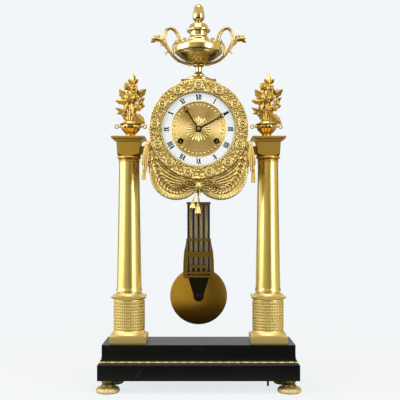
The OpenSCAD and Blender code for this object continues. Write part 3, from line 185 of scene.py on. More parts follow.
# %% Floor
FLOOR_HALF, FLOOR_NEAR, FLOOR_FAR = 4.0, 0.14, 0.7
material, tree = new_material("studio_floor")
rays = add(tree, "ShaderNodeLightPath")
spot = add(tree, "ShaderNodeTexCoord").outputs["Object"]
# The camera sees the floor as pale as the backdrop, and round the clock a share of its shadow.
seen = add(tree, "ShaderNodeMath", {
    0: rays.outputs["Is Camera Ray"], 1: rays.outputs["Is Transmission Ray"]}, operation="MAXIMUM")
away = add(tree, "ShaderNodeVectorMath", {0: spot}, operation="LENGTH")
fade = add(tree, "ShaderNodeMapRange", {
    "Value": away.outputs["Value"], "From Min": 0.3, "From Max": 1.0, "To Min": 0.84, "To Max": 1.0},
    interpolation_type="SMOOTHSTEP")
share = add(tree, "ShaderNodeMath", {0: seen.outputs[0], 1: fade.outputs[0]}, operation="MULTIPLY")
lit = add(tree, "ShaderNodeBsdfDiffuse", {"Color": tint("#f6f9fb")})
glow = add(tree, "ShaderNodeEmission", {"Color": PALE, "Strength": 1.0})
floor_mix = add(tree, "ShaderNodeMixShader", {0: share.outputs[0], 1: lit.outputs[0], 2: glow.outputs[0]})
# Metal sees the floor near the clock and far behind it. Elsewhere it sees through it to the brown table, so the
# underside of the urn and the foot of the bob are as dark as in the photograph.
depth = add(tree, "ShaderNodeSeparateXYZ", {0: spot})
distance = add(tree, "ShaderNodeMath", {0: depth.outputs["Y"]}, operation="ABSOLUTE")
beyond = add(tree, "ShaderNodeMath", {0: distance.outputs[0], 1: FLOOR_NEAR}, operation="GREATER_THAN")
close = add(tree, "ShaderNodeMath", {0: depth.outputs["Y"], 1: FLOOR_FAR}, operation="LESS_THAN")
hidden = add(tree, "ShaderNodeMath", {0: beyond.outputs[0], 1: close.outputs[0]}, operation="MULTIPLY")
unseen = add(tree, "ShaderNodeMath", {
    0: hidden.outputs[0], 1: rays.outputs["Is Glossy Ray"]}, operation="MULTIPLY")
clear = add(tree, "ShaderNodeBsdfTransparent")
floor_mix = add(tree, "ShaderNodeMixShader", {
    0: unseen.outputs[0], 1: floor_mix.outputs[0], 2: clear.outputs[0]})
add(tree, "ShaderNodeOutputMaterial", {"Surface": floor_mix.outputs[0]})
sheet = bpy.data.meshes.new("studio_floor")
sheet.from_pydata([(FLOOR_HALF * x, FLOOR_HALF * y, 0) for x, y in ((-1, -1), (1, -1), (1, 1), (-1, 1))],
                  [], [(0, 1, 2, 3)])
sheet.materials.append(material)
floor = bpy.data.objects.new("studio_floor", sheet)
bpy.context.scene.collection.objects.link(floor)
print("floor:", 2 * FLOOR_HALF, "m square")

# %% Lamps


def soft_box(name, place, target, wide, tall, watts):
    """A rectangular lamp that faces the target."""
    lamp = bpy.data.lights.new(name, "AREA")
    lamp.shape = "RECTANGLE"
    lamp.size, lamp.size_y, lamp.energy = wide, tall, watts
    lamp.color = (0.92, 0.96, 1)
    box = bpy.data.objects.new(name, lamp)
    box.location = place
    box.rotation_euler = (Vector(target) - Vector(place)).to_track_quat("-Z", "Y").to_euler()
    bpy.context.scene.collection.objects.link(box)


soft_box("left_box", (-1.3, -0.68, 0.75), (0, 0, 0.27), 0.6, 1.1, 9.6)
soft_box("right_box", (1.0, -0.95, 0.65), (0, 0, 0.27), 0.5, 1.1, 7.6)
soft_box("top_box", (-0.1, -0.45, 1.7), (0, 0, 0.3), 1.2, 0.9, 9.3)
print("studio: floor, backdrop and three soft boxes")

# %% [markdown]
# ## Gilt bronze
# The clock is cast in bronze and fire-gilt: gold amalgam is brushed on, the mercury is driven off, and the gold is
# then left matt or rubbed bright with an agate burnisher. Matt gilding has a fine frosted grain. Burnished gilding
# is a soft mirror. Hollows keep a brown bloom of old wax and dust, and the same brown darkens them further as
# painted shade; faces that look down are darkened with it as painted shade too. A mask of the hollows could be
# painted, but ambient occlusion finds them by itself. One function writes every gilding, because they differ only
# in colour, grain and polish.

# %% Looks of the gildings
# Pale and deep gold, the brown of the bloom and the painted shade, roughness, then grain, depth of the grain and
# reach of the hollows in mm. A real matting punch leaves a grain of about 0.2 mm, too fine to show, so the matt
# gildings have theirs near 0.9 mm.
GILDINGS = {
    # Left matt from the fire: its frost spreads the light, so the relief shows without glare.
    "matt_gilt_bronze": ("#f6e4a6", "#ead28a", "#8c6824", 0.46, 0.9, 0.014, 2.0),
    # Rubbed bright and then worn: the columns show the room as soft upright bands.
    "burnished_gilt_bronze": ("#efdc94", "#e4cc7c", "#64450f", 0.3, 5.0, 0.0006, 2.2),
    # Toned with a warm wash: the flowers are deeper than the mouldings.
    "toned_gilt_bronze": ("#f0d486", "#e2bd68", "#5e3e0f", 0.32, 2.4, 0.004, 1.6),
    # Spun, polished and lacquered: the bob mirrors the room. Its gold is painted darker as shade, as it hangs back in
    # the case and gets less light.
    "shade_darkened_bob_gilt": ("#dcb458", "#cfa248", "#64450f", 0.15, 6.0, 0.002, 2.0),
    # Cut with a chaser's punch: the basket-work scatters the light most.
    "chased_gilt_bronze": ("#dac682", "#cab26e", "#523709", 0.52, 0.9, 0.02, 2.0),
    # Matted with a net of scales and paled by handling: the front feet.
    "frosted_gilt_bronze": ("#dccb98", "#ccb880", "#5a4014", 0.55, 0.9, 0.02, 2.0),
    # Painted shade: a dark brown gold for the feet's necks and the rear feet, which stand in the shadow under the
    # base.
    "painted_deep_shade_gilt": ("#8a7440", "#6e5a2e", "#2c2009", 0.45, 0.9, 0.02, 6.0),
    # Painted shade: a deeper gold for the ground behind the leaves and for the side tails, as they lie in shade.
    "shade_deepened_gilt_bronze": ("#e4ca84", "#d0b468", "#6c4c16", 0.5, 0.7, 0.03, 2.0),
    # Matted only lightly: the folds of the swag have a soft sheen and brown hollows.
    "draped_gilt_bronze": ("#f4e0a0", "#e8cf86", "#6e4612", 0.44, 0.9, 0.008, 2.5),
    # Rubbed with a cloth: the handles glint along their edges.
    "satin_gilt_bronze": ("#e4cc88", "#d6ba70", "#5e3e0f", 0.3, 3.0, 0.002, 2.2),
    # Turned and rubbed, with pale gold: the bowl of the urn.
    "pale_satin_gilt": ("#f2e4b4", "#e6d296", "#5e3e0f", 0.24, 3.0, 0.002, 2.2),
    # Rubbed, with warm gold: the plain faces of the capitals.
    "warm_satin_gilt": ("#f2cd74", "#e4b95a", "#5e3e0f", 0.34, 3.0, 0.002, 2.2),
    # Burnished and toned: the vases mirror the room in deep gold.
    "toned_mirror_gilt": ("#e6cc84", "#d8b868", "#5e3e0f", 0.18, 4.0, 0.001, 2.0),
    # Burnished hard: the acorn, the lid and the stem of the urn are near mirrors.
    "mirror_gilt_bronze": ("#efdfa8", "#e4cc8e", "#5e3e0f", 0.12, 6.0, 0.001, 2.2),
}
print("gildings to make:", len(GILDINGS))

# %% Gilding


def gilding(name, pale, deep, bloom_shade_colour, rough, grain_mm, grain_depth_mm, hollow_mm):
    """Gold of two tones and a matted grain, with a brown bloom in its hollows that also paints their shade, and
    painted shade on faces that look down.
    """
    material, tree = new_material(name)
    place = add(tree, "ShaderNodeTexCoord").outputs["Object"]
    # The two tones of gold lie in clouds of 14 mm, as the amalgam was brushed on.
    cloud = add(tree, "ShaderNodeTexNoise", {"Vector": place, "Scale": 1 / (14 * MM), "Detail": 3})
    gold = add(tree, "ShaderNodeMix", {
        "Factor": cloud.outputs["Fac"], COL_A: tint(pale), COL_B: tint(deep)}, data_type="RGBA")
    # The hollows, found by ambient occlusion, take the brown: partly a bloom of old wax and dust, partly painted
    # shade.
    hollow = add(tree, "ShaderNodeAmbientOcclusion", {"Distance": hollow_mm * MM}, samples=6)
    hollow_dirt_and_shade = add(tree, "ShaderNodeMapRange", {
        "Value": hollow.outputs["AO"], "From Min": 0.2, "From Max": 0.74, "To Min": 0.9, "To Max": 0.0})
    # Faces that look down take the brown too: painted shade.
    facing = add(tree, "ShaderNodeSeparateXYZ", {0: add(tree, "ShaderNodeNewGeometry").outputs["Normal"]})
    painted_underside_shade = add(tree, "ShaderNodeMapRange", {
        "Value": facing.outputs["Z"], "From Min": -0.25, "From Max": -0.75, "To Min": 0.0, "To Max": 0.6})
    bloom_and_painted_shade = add(tree, "ShaderNodeMath", {0: hollow_dirt_and_shade.outputs[0], 1: painted_underside_shade.outputs[0]}, operation="MAXIMUM")
    gold_with_bloom_and_shade = add(tree, "ShaderNodeMix", {
        "Factor": bloom_and_painted_shade.outputs[0], COL_A: gold.outputs[COL_OUT], COL_B: tint(bloom_shade_colour)}, data_type="RGBA")
    grain = add(tree, "ShaderNodeTexNoise", {"Vector": place, "Scale": 1 / (grain_mm * MM), "Detail": 2})
    dull = add(tree, "ShaderNodeMapRange", {
        "Value": cloud.outputs["Fac"], "To Min": rough - 0.03, "To Max": rough + 0.04})
    bump = add(tree, "ShaderNodeBump", {
        "Height": grain.outputs["Fac"], "Distance": grain_depth_mm * MM, "Strength": 1.0})
    skin_of_gold = add(tree, "ShaderNodeBsdfPrincipled", {
        "Base Color": gold_with_bloom_and_shade.outputs[COL_OUT], "Metallic": 1.0, "Roughness": dull.outputs[0],
        "Normal": bump.outputs[0]})
    add(tree, "ShaderNodeOutputMaterial", {"Surface": skin_of_gold.outputs[0]})
    return material


gilt = {name: gilding(name, *look) for name, look in GILDINGS.items()}
finishes = {"gilt_bronze": gilt["matt_gilt_bronze"], "burnished_gilt": gilt["burnished_gilt_bronze"],
            "dark_gilt": gilt["toned_gilt_bronze"]}
print("gildings:", sorted(gilt))

# %% [markdown]
# ## Black marble
# The base is black marble, sawn and polished. It is nearly black, with a few faint grey veins, and the polish
# reflects the room most at a low angle, so the top of the base looks grey. A picture of stone could be laid on, but
# noise in the block's own space runs round its edges as veins do. The polisher eased the edges, which a Bevel node
# gives without cutting the mesh.

# %% Marble
# Sawn and polished stone: a dark mirror, with clouds of 60 mm and veins of 45 mm. Its polish is old, so it shines
# less than fresh stone does.
material, tree = new_material("polished_black_marble")
place = add(tree, "ShaderNodeTexCoord").outputs["Object"]
warp = add(tree, "ShaderNodeTexNoise", {
    "Vector": place, "Scale": 1 / (60 * MM), "Detail": 4, "Distortion": 0.6})
vein = add(tree, "ShaderNodeTexNoise", {
    "Vector": place, "Scale": 1 / (45 * MM), "Detail": 6, "Distortion": 2.2})
line = add(tree, "ShaderNodeMapRange", {"Value": vein.outputs["Fac"], "From Min": 0.66, "From Max": 0.74})
stone = add(tree, "ShaderNodeMix", {
    "Factor": warp.outputs["Fac"], COL_A: tint("#06080b"), COL_B: tint("#0b0d11")}, data_type="RGBA")
veined = add(tree, "ShaderNodeMix", {
    "Factor": line.outputs[0], COL_A: stone.outputs[COL_OUT], COL_B: tint("#2c2b2c")}, data_type="RGBA")
smear = add(tree, "ShaderNodeMapRange", {"Value": warp.outputs["Fac"], "To Min": 0.12, "To Max": 0.3})
edge = add(tree, "ShaderNodeBevel", {"Radius": 0.5 * MM}, samples=4)
marble = add(tree, "ShaderNodeBsdfPrincipled", {
    "Base Color": veined.outputs[COL_OUT], "Roughness": smear.outputs[0], "IOR": 1.48,
    "Specular IOR Level": 0.17, "Normal": edge.outputs[0]})
add(tree, "ShaderNodeOutputMaterial", {"Surface": marble.outputs[0]})
finishes["black_marble"] = material
print("marble:", len(tree.nodes), "nodes")

# %% [markdown]
# ## Enamel, steel and brass
# The hour ring is white vitreous enamel, fused glass on copper, with a wet shine and a few specks from the kiln. The
# hands are steel that was heated until it turned dark. The movement is lacquered brass, and the rods of the
# pendulum are drawn steel and brass, so both have fine lines from the draw plate along their length. The middle of
# the dial was turned on a lathe with a graver, and its rings spread each light into a fan. Noise drawn out along a
# rod gives its lines without unwrapping it, so one function serves every worked metal.

# %% Enamel
# Fused glass: white with a wet shine, faint swells of 7 mm, and specks from the kiln about 4 mm apart.
material, tree = new_material("fired_white_enamel")
place = add(tree, "ShaderNodeTexCoord").outputs["Object"]
mottle = add(tree, "ShaderNodeTexNoise", {"Vector": place, "Scale": 1 / (7 * MM), "Detail": 3})
speck = add(tree, "ShaderNodeTexVoronoi", {"Vector": place, "Scale": 1 / (4 * MM)})
dot = add(tree, "ShaderNodeMapRange", {
    "Value": speck.outputs["Distance"], "From Min": 0.03, "From Max": 0.06})
milk = add(tree, "ShaderNodeMix", {
    "Factor": mottle.outputs["Fac"], COL_A: tint("#dee4f2"), COL_B: tint("#d5dcec")}, data_type="RGBA")
glass = add(tree, "ShaderNodeMix", {
    "Factor": dot.outputs[0], COL_A: tint("#c9c4b8"), COL_B: milk.outputs[COL_OUT]}, data_type="RGBA")
swell = add(tree, "ShaderNodeBump", {"Height": mottle.outputs["Fac"], "Distance": 0.02 * MM})
enamel = add(tree, "ShaderNodeBsdfPrincipled", {
    "Base Color": glass.outputs[COL_OUT], "Roughness": 0.12, "IOR": 1.52, "Normal": swell.outputs[0]})
add(tree, "ShaderNodeOutputMaterial", {"Surface": enamel.outputs[0]})
finishes["enamel"] = material
print("enamel:", len(tree.nodes), "nodes")

# %% Steel and brass


def drawn_metal(name, light, dark, rough, line_mm, stretch, depth_mm):
    """Worked metal: two tones in fine lines, stretched along the way it was drawn or turned."""
    material, tree = new_material(name)
    place = add(tree, "ShaderNodeTexCoord").outputs["Object"]
    drawn = add(tree, "ShaderNodeMapping", {"Vector": place, "Scale": stretch})
    lines = add(tree, "ShaderNodeTexNoise", {
        "Vector": drawn.outputs[0], "Scale": 1 / (line_mm * MM), "Detail": 3})
    tone = add(tree, "ShaderNodeMix", {
        "Factor": lines.outputs["Fac"], COL_A: tint(light), COL_B: tint(dark)}, data_type="RGBA")
    # The hollows, found by ambient occlusion, turn brown-black: partly dirt, partly painted shade.
    hollow = add(tree, "ShaderNodeAmbientOcclusion", {"Distance": 3 * MM}, samples=4)
    hollow_dirt_and_shade = add(tree, "ShaderNodeMapRange", {
        "Value": hollow.outputs["AO"], "From Min": 0.2, "From Max": 0.8, "To Min": 0.7, "To Max": 0.0})
    dirt_and_shade_tone = add(tree, "ShaderNodeMix", {
        "Factor": hollow_dirt_and_shade.outputs[0], COL_A: tone.outputs[COL_OUT], COL_B: tint("#1c140b")}, data_type="RGBA")
    dull = add(tree, "ShaderNodeMapRange", {
        "Value": lines.outputs["Fac"], "To Min": rough - 0.05, "To Max": rough + 0.1})
    bump = add(tree, "ShaderNodeBump", {"Height": lines.outputs["Fac"], "Distance": depth_mm * MM})
    metal = add(tree, "ShaderNodeBsdfPrincipled", {
        "Base Color": dirt_and_shade_tone.outputs[COL_OUT], "Metallic": 1.0, "Roughness": dull.outputs[0],
        "Normal": bump.outputs[0]})
    add(tree, "ShaderNodeOutputMaterial", {"Surface": metal.outputs[0]})
    return material


EVEN = (1, 1, 1)
# Light and dark tone, roughness, width of the lines in mm, stretch of the lines, and their depth in mm. The lines of
# a draw plate are under a tenth of a millimetre, too fine to show, so these are drawn coarser.
METALS = {
    # Heated until dark and left unpolished: the hands are nearly black, with a brown glint.
    "heat_darkened_steel": ("#3a2c22", "#241a14", 0.3, 0.6, EVEN, 0.004),
    # Blackened with oil on hot metal: the bob's hanger.
    "blackened_steel": ("#342f2b", "#231f1b", 0.34, 0.8, EVEN, 0.004),
    # Drawn through a plate, with long faint lines; its dark grey is painted shade, as the gridiron hangs in shadow.
    "drawn_steel": ("#3c362c", "#28231b", 0.45, 0.5, (1, 1, 0.04), 0.004),
    # Brass that lost its lacquer: brown gold for the bars of the gridiron, made darker as painted shade.
    "shade_darkened_brass": ("#a28544", "#7c632e", 0.4, 0.6, (1, 1, 0.06), 0.004),
    # Drawn brass, made darker as painted shade: the grey gold of the rods.
    "shade_darkened_drawn_brass": ("#a8966c", "#82704a", 0.5, 0.6, (1, 1, 0.06), 0.004),
    # Brass under lacquer: the plates and wheels of the movement.
    "lacquered_brass": ("#b08f4a", "#8a6c30", 0.3, 0.8, (1, 1, 0.08), 0.005),
    # Bell metal, pale and hard, with the marks of the lathe.
    "turned_bell_metal": ("#cdb579", "#a98d52", 0.24, 0.7, EVEN, 0.005),
}
metals = {name: drawn_metal(name, *look) for name, look in METALS.items()}
finishes.update({"blued_steel": metals["heat_darkened_steel"], "black_steel": metals["blackened_steel"],
                 "steel": metals["drawn_steel"], "clock_brass": metals["lacquered_brass"],
                 "bell_metal": metals["turned_bell_metal"]})
print("metals:", sorted(metals))

# %% Turned gilding of the dial centre
# Turned with a graver and gilt: a soft gold that gathers the light into a fan.
# The graver's real rings are too fine to show, so these are coarser. A wave of scale 0.314 repeats once a metre.
RING_PITCH_MM, WAVE_METRE = 1.1, 0.314
material, tree = new_material("circular_grained_gilt")
place = add(tree, "ShaderNodeTexCoord").outputs["Object"]
centred = add(tree, "ShaderNodeMapping", {"Vector": place, "Location": (0, 0, -DIAL_Z * MM)})
ripple = add(tree, "ShaderNodeTexWave", {
    "Vector": centred.outputs[0], "Scale": WAVE_METRE / (RING_PITCH_MM * MM), "Distortion": 0.4},
    wave_type="RINGS", rings_direction="Y")
cloud = add(tree, "ShaderNodeTexNoise", {"Vector": place, "Scale": 1 / (9 * MM), "Detail": 3})
gold = add(tree, "ShaderNodeMix", {
    "Factor": cloud.outputs["Fac"], COL_A: tint("#fde2a4"), COL_B: tint("#f3d28a")}, data_type="RGBA")
bump = add(tree, "ShaderNodeBump", {"Height": ripple.outputs["Fac"], "Distance": 0.012 * MM})
around = add(tree, "ShaderNodeTangent", direction_type="RADIAL", axis="Y")
grained = add(tree, "ShaderNodeBsdfPrincipled", {
    "Base Color": gold.outputs[COL_OUT], "Metallic": 1.0, "Roughness": 0.41, "Anisotropic": 0.9,
    "Anisotropic Rotation": 0.25, "Tangent": around.outputs[0], "Normal": bump.outputs[0]})
add(tree, "ShaderNodeOutputMaterial", {"Surface": grained.outputs[0]})
dial_gilt = material
print("finishes:", len(finishes), "for the slots, and the dial's own")

# %% [markdown]
# ## Finish on every CAD node
# The record names a material slot for each CAD node. Each slot has its finish above, so a loop paints every node. A
# few nodes then get a finish of their own.

# %% Paint the CAD nodes


def paint(piece, material):
    """Gives a piece one material."""
    piece.data.materials.clear()
    piece.data.materials.append(material)
    return piece


OWN_FINISH = {"capital_left": gilt["warm_satin_gilt"], "capital_right": gilt["warm_satin_gilt"],
              "acorn": gilt["mirror_gilt_bronze"], "urn_lid": gilt["mirror_gilt_bronze"],
              "urn_stem": gilt["mirror_gilt_bronze"], "saddle": gilt["mirror_gilt_bronze"],
              "urn_bowl": gilt["pale_satin_gilt"], "bob": gilt["shade_darkened_bob_gilt"], "dial_centre": dial_gilt,
              "grid_bars": metals["shade_darkened_brass"], "hand_nut": metals["shade_darkened_drawn_brass"]}
for part in frame["record"]["subparts"]:
    paint(nodes[part["node"]], finishes[part["material_slot"]])
for node, material in OWN_FINISH.items():
    paint(nodes[node], material)

# %% [markdown]
# ## Shapes of the cast ornament
# All the ornament comes from a few shapes: rings of points joined into a skin, a lathe, a bar swept along a curve
# and a leaf. A casting gathers many of them into one mesh, as the founder's model did.

# %% Shape helpers


def skin(rows, looped=False):
    """Rings of points, joined ring to ring by quads."""
    count = len(rows[0])
    points = [p for row in rows for p in row]
    faces = []
    for i in range(len(rows) if looped else len(rows) - 1):
        nxt = (i + 1) % len(rows)
        for j in range(count):
            k = (j + 1) % count
            faces.append((i * count + j, i * count + k, nxt * count + k, nxt * count + j))
    if not looped:
        faces.append(tuple(reversed(range(count))))
        faces.append(tuple(range(len(points) - count, len(points))))
    return points, faces


def turned(profile, steps, swell=None, looped=False):
    """A lathe round the Z axis: the profile is radius and height, swell moves the radius."""
    rows = []
    for r, h in profile:
        around = [math.tau * k / steps for k in range(steps)]
        radii = [r + (swell(a, r, h) if swell else 0) for a in around]
        rows.append([(q * math.cos(a), q * math.sin(a), h) for q, a in zip(radii, around)])
    return skin(rows, looped)


def through(points, steps):
    """A smooth line through given points."""
    out = []
    pts = [Vector(p) for p in points]
    for i in range(len(pts) - 1):
        a, b, c, d = pts[max(i - 1, 0)], pts[i], pts[i + 1], pts[min(i + 2, len(pts) - 1)]
        for j in range(steps):
            t = j / steps
            out.append(0.5 * (2 * b + (c - a) * t + (2 * a - 5 * b + 4 * c - d) * t * t
                              + (3 * b - a - 3 * c + d) * t ** 3))
    return out + [pts[-1]]


def swept(path, radii, sides, flat=1.0):
    """A bar along a path; flat stretches it from front to back."""
    rows = []
    last = Vector((0, 1, 0))
    for i, p in enumerate(path):
        way = (path[min(i + 1, len(path) - 1)] - path[max(i - 1, 0)]).normalized()
        side = way.cross(last).normalized()
        last = side.cross(way).normalized()
        r = radii(i / (len(path) - 1)) if callable(radii) else radii
        turns = [math.tau * k / sides for k in range(sides)]
        rows.append([p + r * (math.cos(a) * side + flat * math.sin(a) * last) for a in turns])
    return skin(rows)


def leaf(length, width, thick=0.7, curl=0.0, cup=0.25, lobes=0, rows=9, point=0.8, full=1.0):
    """A cast leaf along local x: a raised midrib, edges that turn down, and a tip that curls up."""
    rings = []
    for i in range(rows):
        t = i / (rows - 1)
        w = width / 2 * max(math.sin(math.pi * t ** point) ** full if 0 < t < 1 else 0, 0.06)
        if lobes:
            w *= 1 + 0.1 * math.cos(math.tau * lobes * t)
        x = length * t
        rise = curl * length * t * t
        edge, blade = rise - cup * w, rise - 0.1 * w + thick * 0.35
        groove, rib = rise + thick * 0.3, rise + thick * 0.5 + 0.45 * thick * (1 - 0.6 * t)
        back = rise - thick * 0.6
        rings.append([(x, share * w, z) for share, z in (
            (-1, edge), (-0.55, blade), (-0.12, groove), (0, rib), (0.12, groove), (0.55, blade), (1, edge),
            (0.4, back), (-0.4, back))])
    return skin(rings)


def ball(r, flat=1.0, steps=10):
    """A small round bead on the plane z = 0."""
    bows = [math.radians(v) for v in (178, 150, 120, 90, 60, 30, 2)]
    return turned([(r * math.sin(a), flat * r * math.cos(a)) for a in bows], steps)


print("a plain leaf has", len(leaf(10, 4)[1]), "faces and a bead", len(ball(1)[1]))

# %% Places on the front


def on_front(x, z, forward, turn=0.0, lean=0.0, roll=0.0):
    """Places a shape on the front: local x and y lie in the dial's plane and z comes towards the viewer."""
    face = Matrix(((1, 0, 0, x), (0, 0, -1, -forward), (0, 1, 0, z), (0, 0, 0, 1)))
    spin = Matrix.Rotation(math.radians(turn), 4, "Z") @ Matrix.Rotation(math.radians(-lean), 4, "Y")
    return face @ spin @ Matrix.Rotation(math.radians(roll), 4, "X")


def round_dial(r, a, forward, turn=0.0, lean=0.0):
    """A place on the front at a radius and an angle from the dial's centre."""
    return on_front(r * math.cos(a), DIAL_Z + r * math.sin(a), forward, turn, lean)


def sided(angle, s):
    """An angle on the right side of the front, or its mirror on the left."""
    return angle if s > 0 else 180 - angle


print("the dial's centre is at", [round(v, 1) for v in round_dial(0, 0, DIAL_FACE).translation])

# %% Castings


class Casting:
    """Shapes in mm that become one piece."""

    def __init__(self):
        self.points = []
        self.faces = []

    def add(self, shape, place=Matrix()):
        """Adds one shape at a place."""
        start = len(self.points)
        self.points += [place @ Vector(p) for p in shape[0]]
        self.faces += [tuple(start + i for i in face) for face in shape[1]]

    def piece(self, name, slot, material, body="frame", replaces=(), sharp=50):
        """Makes the mesh, paints it, puts it on the body it rides on and hides the CAD nodes it replaces."""
        mesh = bpy.data.meshes.new(name)
        mesh.from_pydata([p * MM for p in self.points], [], self.faces)
        work = bmesh.new()
        work.from_mesh(mesh)
        bmesh.ops.recalc_face_normals(work, faces=work.faces)
        work.to_mesh(mesh)
        work.free()
        mesh.shade_smooth()
        mesh.set_sharp_from_angle(angle=math.radians(sharp))
        made = paint(bpy.data.objects.new(name, mesh), material)
        bpy.context.scene.collection.objects.link(made)
        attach(made, body)
        if replaces:
            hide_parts(*replaces)
        print(name, len(mesh.polygons), "faces")


print("castings are made at", MM, "m to the millimetre")

# %% [markdown]
# ## Feet and the gilt strip of the base
# Each foot is a flattened ball with a chased net of small scales, on a plain trumpet neck. A bump could draw the
# scales, but the edge of the foot would stay smooth, so a lathe with a wave in its radius makes them as relief. The
# rear feet and the necks are painted a dark brown gold as shade under the base, so they are a casting of their own.
# The strip between the slabs is a bead-and-reel moulding, one lathe for each side of the base.

# %% Feet
foot_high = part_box("feet")[1]
FOOT_R = 16
FOOT_X, FOOT_Y = foot_high.x / MM - FOOT_R, foot_high.y / MM - FOOT_R
SCALES, SCALE_ROW, SCALE_RISE = 22, 3.2, 0.34
bulb = through([(14.6, 0), (15.9, 1.4), (16, 3.6), (15, 5.6), (13.4, 6.8), (9.4, 8.4)], 7)
neck = through([(9.2, 8.3), (8.6, 10.4), (6.7, 13), (6.1, 15), (6.6, 16.6), (7.4, 17.3)], 4)


def scales(a, r, h):
    """Relief of the net: rows of scales, each row half a scale on from the one below."""
    if h > 8.3 or h < 0.3:
        return 0
    row = round(h / SCALE_ROW)
    return SCALE_RISE * math.cos(SCALES * a + math.pi * row) * math.cos(math.pi * (h / SCALE_ROW - row))


# The rear feet and all the necks go into a second casting, painted dark as shade under the base.
feet, shaded_parts = Casting(), Casting()
for sx in (-1, 1):
    for sy, cast in ((-1, feet), (1, shaded_parts)):
        place = Matrix.Translation((sx * FOOT_X, sy * FOOT_Y, 0))
        cast.add(turned([(p.x, p.y) for p in bulb], 8 * SCALES, scales), place)
        shaded_parts.add(turned([(p.x, p.y) for p in neck], 4 * SCALES), place)
shaded_parts.piece("shade_painted_necks", "gilt_bronze", gilt["painted_deep_shade_gilt"])
feet.piece("turned_feet", "gilt_bronze", gilt["frosted_gilt_bronze"], replaces=("feet",))

# %% Bead-and-reel strip
strip_low, strip_high = (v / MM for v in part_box("bead_strip"))
strip = Casting()
z_mid = (strip_low.z + strip_high.z) / 2
bead_r = (strip_high.z - strip_low.z) / 2
BEAD_PITCH = 12.0
LEDGE_OUT, LEDGE_IN = 1.9, 3.2
# One bead and one reel: shares of the pitch, with the share of the bead's radius there.
BEAD_AND_REEL = ((0.04, 0.3), (0.06, 0.7), (0.1, 0.92), (0.2, 1), (0.5, 1), (0.6, 0.92), (0.64, 0.7), (0.66, 0.3),
                 (0.75, 0.3), (0.76, 0.75), (0.79, 0.85), (0.9, 0.85), (0.93, 0.75), (0.94, 0.3))


def bead_row(length, place):
    """Long beads with a reel between them, lying along local x."""
    count = round(length / BEAD_PITCH)
    step = length / count
    rows = []
    for i in range(count):
        x0 = -length / 2 + i * step
        for t, r in BEAD_AND_REEL:
            rows.append([(x0 + t * step, r * bead_r * math.cos(a), r * bead_r * math.sin(a))
                         for a in (math.tau * k / 12 for k in range(12))])
    strip.add(skin(rows), place)


wide, deep = strip_high.x - strip_low.x, strip_high.y - strip_low.y
side_x, side_y = wide / 2 - bead_r, deep / 2 - bead_r
for s in (-1, 1):
    bead_row(wide - 2 * bead_r, Matrix.Translation((0, s * side_y, z_mid)))
    bead_row(deep - 2 * bead_r,
             Matrix.Translation((s * side_x, 0, z_mid)) @ Matrix.Rotation(math.pi / 2, 4, "Z"))
for sx in (-1, 1):
    for sy in (-1, 1):
        strip.add(ball(bead_r), Matrix.Translation((sx * side_x, sy * side_y, z_mid)))
corners = ((-1, -1), (1, -1), (1, 1), (-1, 1))
ledge_low = strip_low.z + 0.1
ledge = [[(sx * (wide / 2 - inset), sy * (deep / 2 - inset), z) for sx, sy in corners]
         for inset, z in ((LEDGE_OUT, ledge_low), (LEDGE_OUT, strip_high.z), (LEDGE_IN, strip_high.z),
                          (LEDGE_IN, ledge_low))]
strip.add(skin(ledge, looped=True))
strip.piece("bead_and_reel_strip", "gilt_bronze", finishes["gilt_bronze"], replaces=("bead_strip",))

# %% [markdown]
# ## Basket-work of the pedestals
# The round pedestals are chased as basket-work: horizontal strands that bulge between upright stakes. Strands could
# be woven as single bars, but the real work is one chased skin. So it is a sleeve over the plain drum of the CAD
# pedestal, one lathe, with the strands as relief of about six tenths of a millimetre.

# %% Basket sleeves
BASKET_LOW, BASKET_HIGH, BASKET_R = 81.6, 121.8, 21.25
STAKES, ROWS, STRAND_RISE = 40, 10, 0.62
RINGS = 80
row_h = (BASKET_HIGH - BASKET_LOW) / ROWS


def weave(a, r, h):
    """Relief of the strands, with a groove at each stake and between the rows."""
    across = abs(math.sin(STAKES * a / 2))
    along = abs(math.sin(math.pi * (h - BASKET_LOW) / row_h))
    return STRAND_RISE * (across ** 0.2) * (along ** 0.4)


outside = [(BASKET_R, BASKET_LOW + (BASKET_HIGH - BASKET_LOW) * i / RINGS) for i in range(RINGS + 1)]
for side in ("left", "right"):
    sleeve = Casting()
    sleeve.add(turned(outside, 8 * STAKES, weave), Matrix.Translation((middle("pedestal_" + side).x, 0, 0)))
    sleeve.piece("basket_sleeve_" + side, "gilt_bronze", gilt["chased_gilt_bronze"])

# %% [markdown]
# ## The bezel wreath
# The bezel is a ring of thirteen flowers with leaves and berries packed between them, and a beaded inner edge. A
# bezel flower is a round of broad petals about a deep groove with a button in it, cut as one lathe so that it
# stays a clear disc among the leaves. The leaves take their turn and size from a seeded draw, so no two gaps are
# alike but every run is. The ground behind them is a deeper gilding: painted shade in the gaps between the leaves.

# %% Flower shapes
PETALS, ROSETTE_PETALS = 5, 8
# Flowers as lathe lines, from the button out: shares of the flower's radius, and for the flat one heights in mm.
BLOSSOM_LINE = through([(0.02, 0.4), (0.13, 0.37), (0.2, 0.2), (0.32, 0.33), (0.48, 0.34), (0.6, 0.12),
                        (0.76, 0.18), (0.94, 0.04), (1.0, -0.1), (0.8, -0.2), (0.4, -0.32), (0.02, -0.36)], 3)
ROSETTE_LINE = ((0.02, 0.5), (0.14, 0.45), (0.23, 0.25), (0.27, -0.1), (0.29, -1.3), (0.4, -1.3), (0.42, 0.2),
                (0.47, 0.6), (0.54, 0.6), (0.59, 0.2), (0.63, 0.1), (0.74, 0.5), (0.86, 0.55), (0.95, 0.3),
                (1.0, -0.2), (1.0, -1.2))


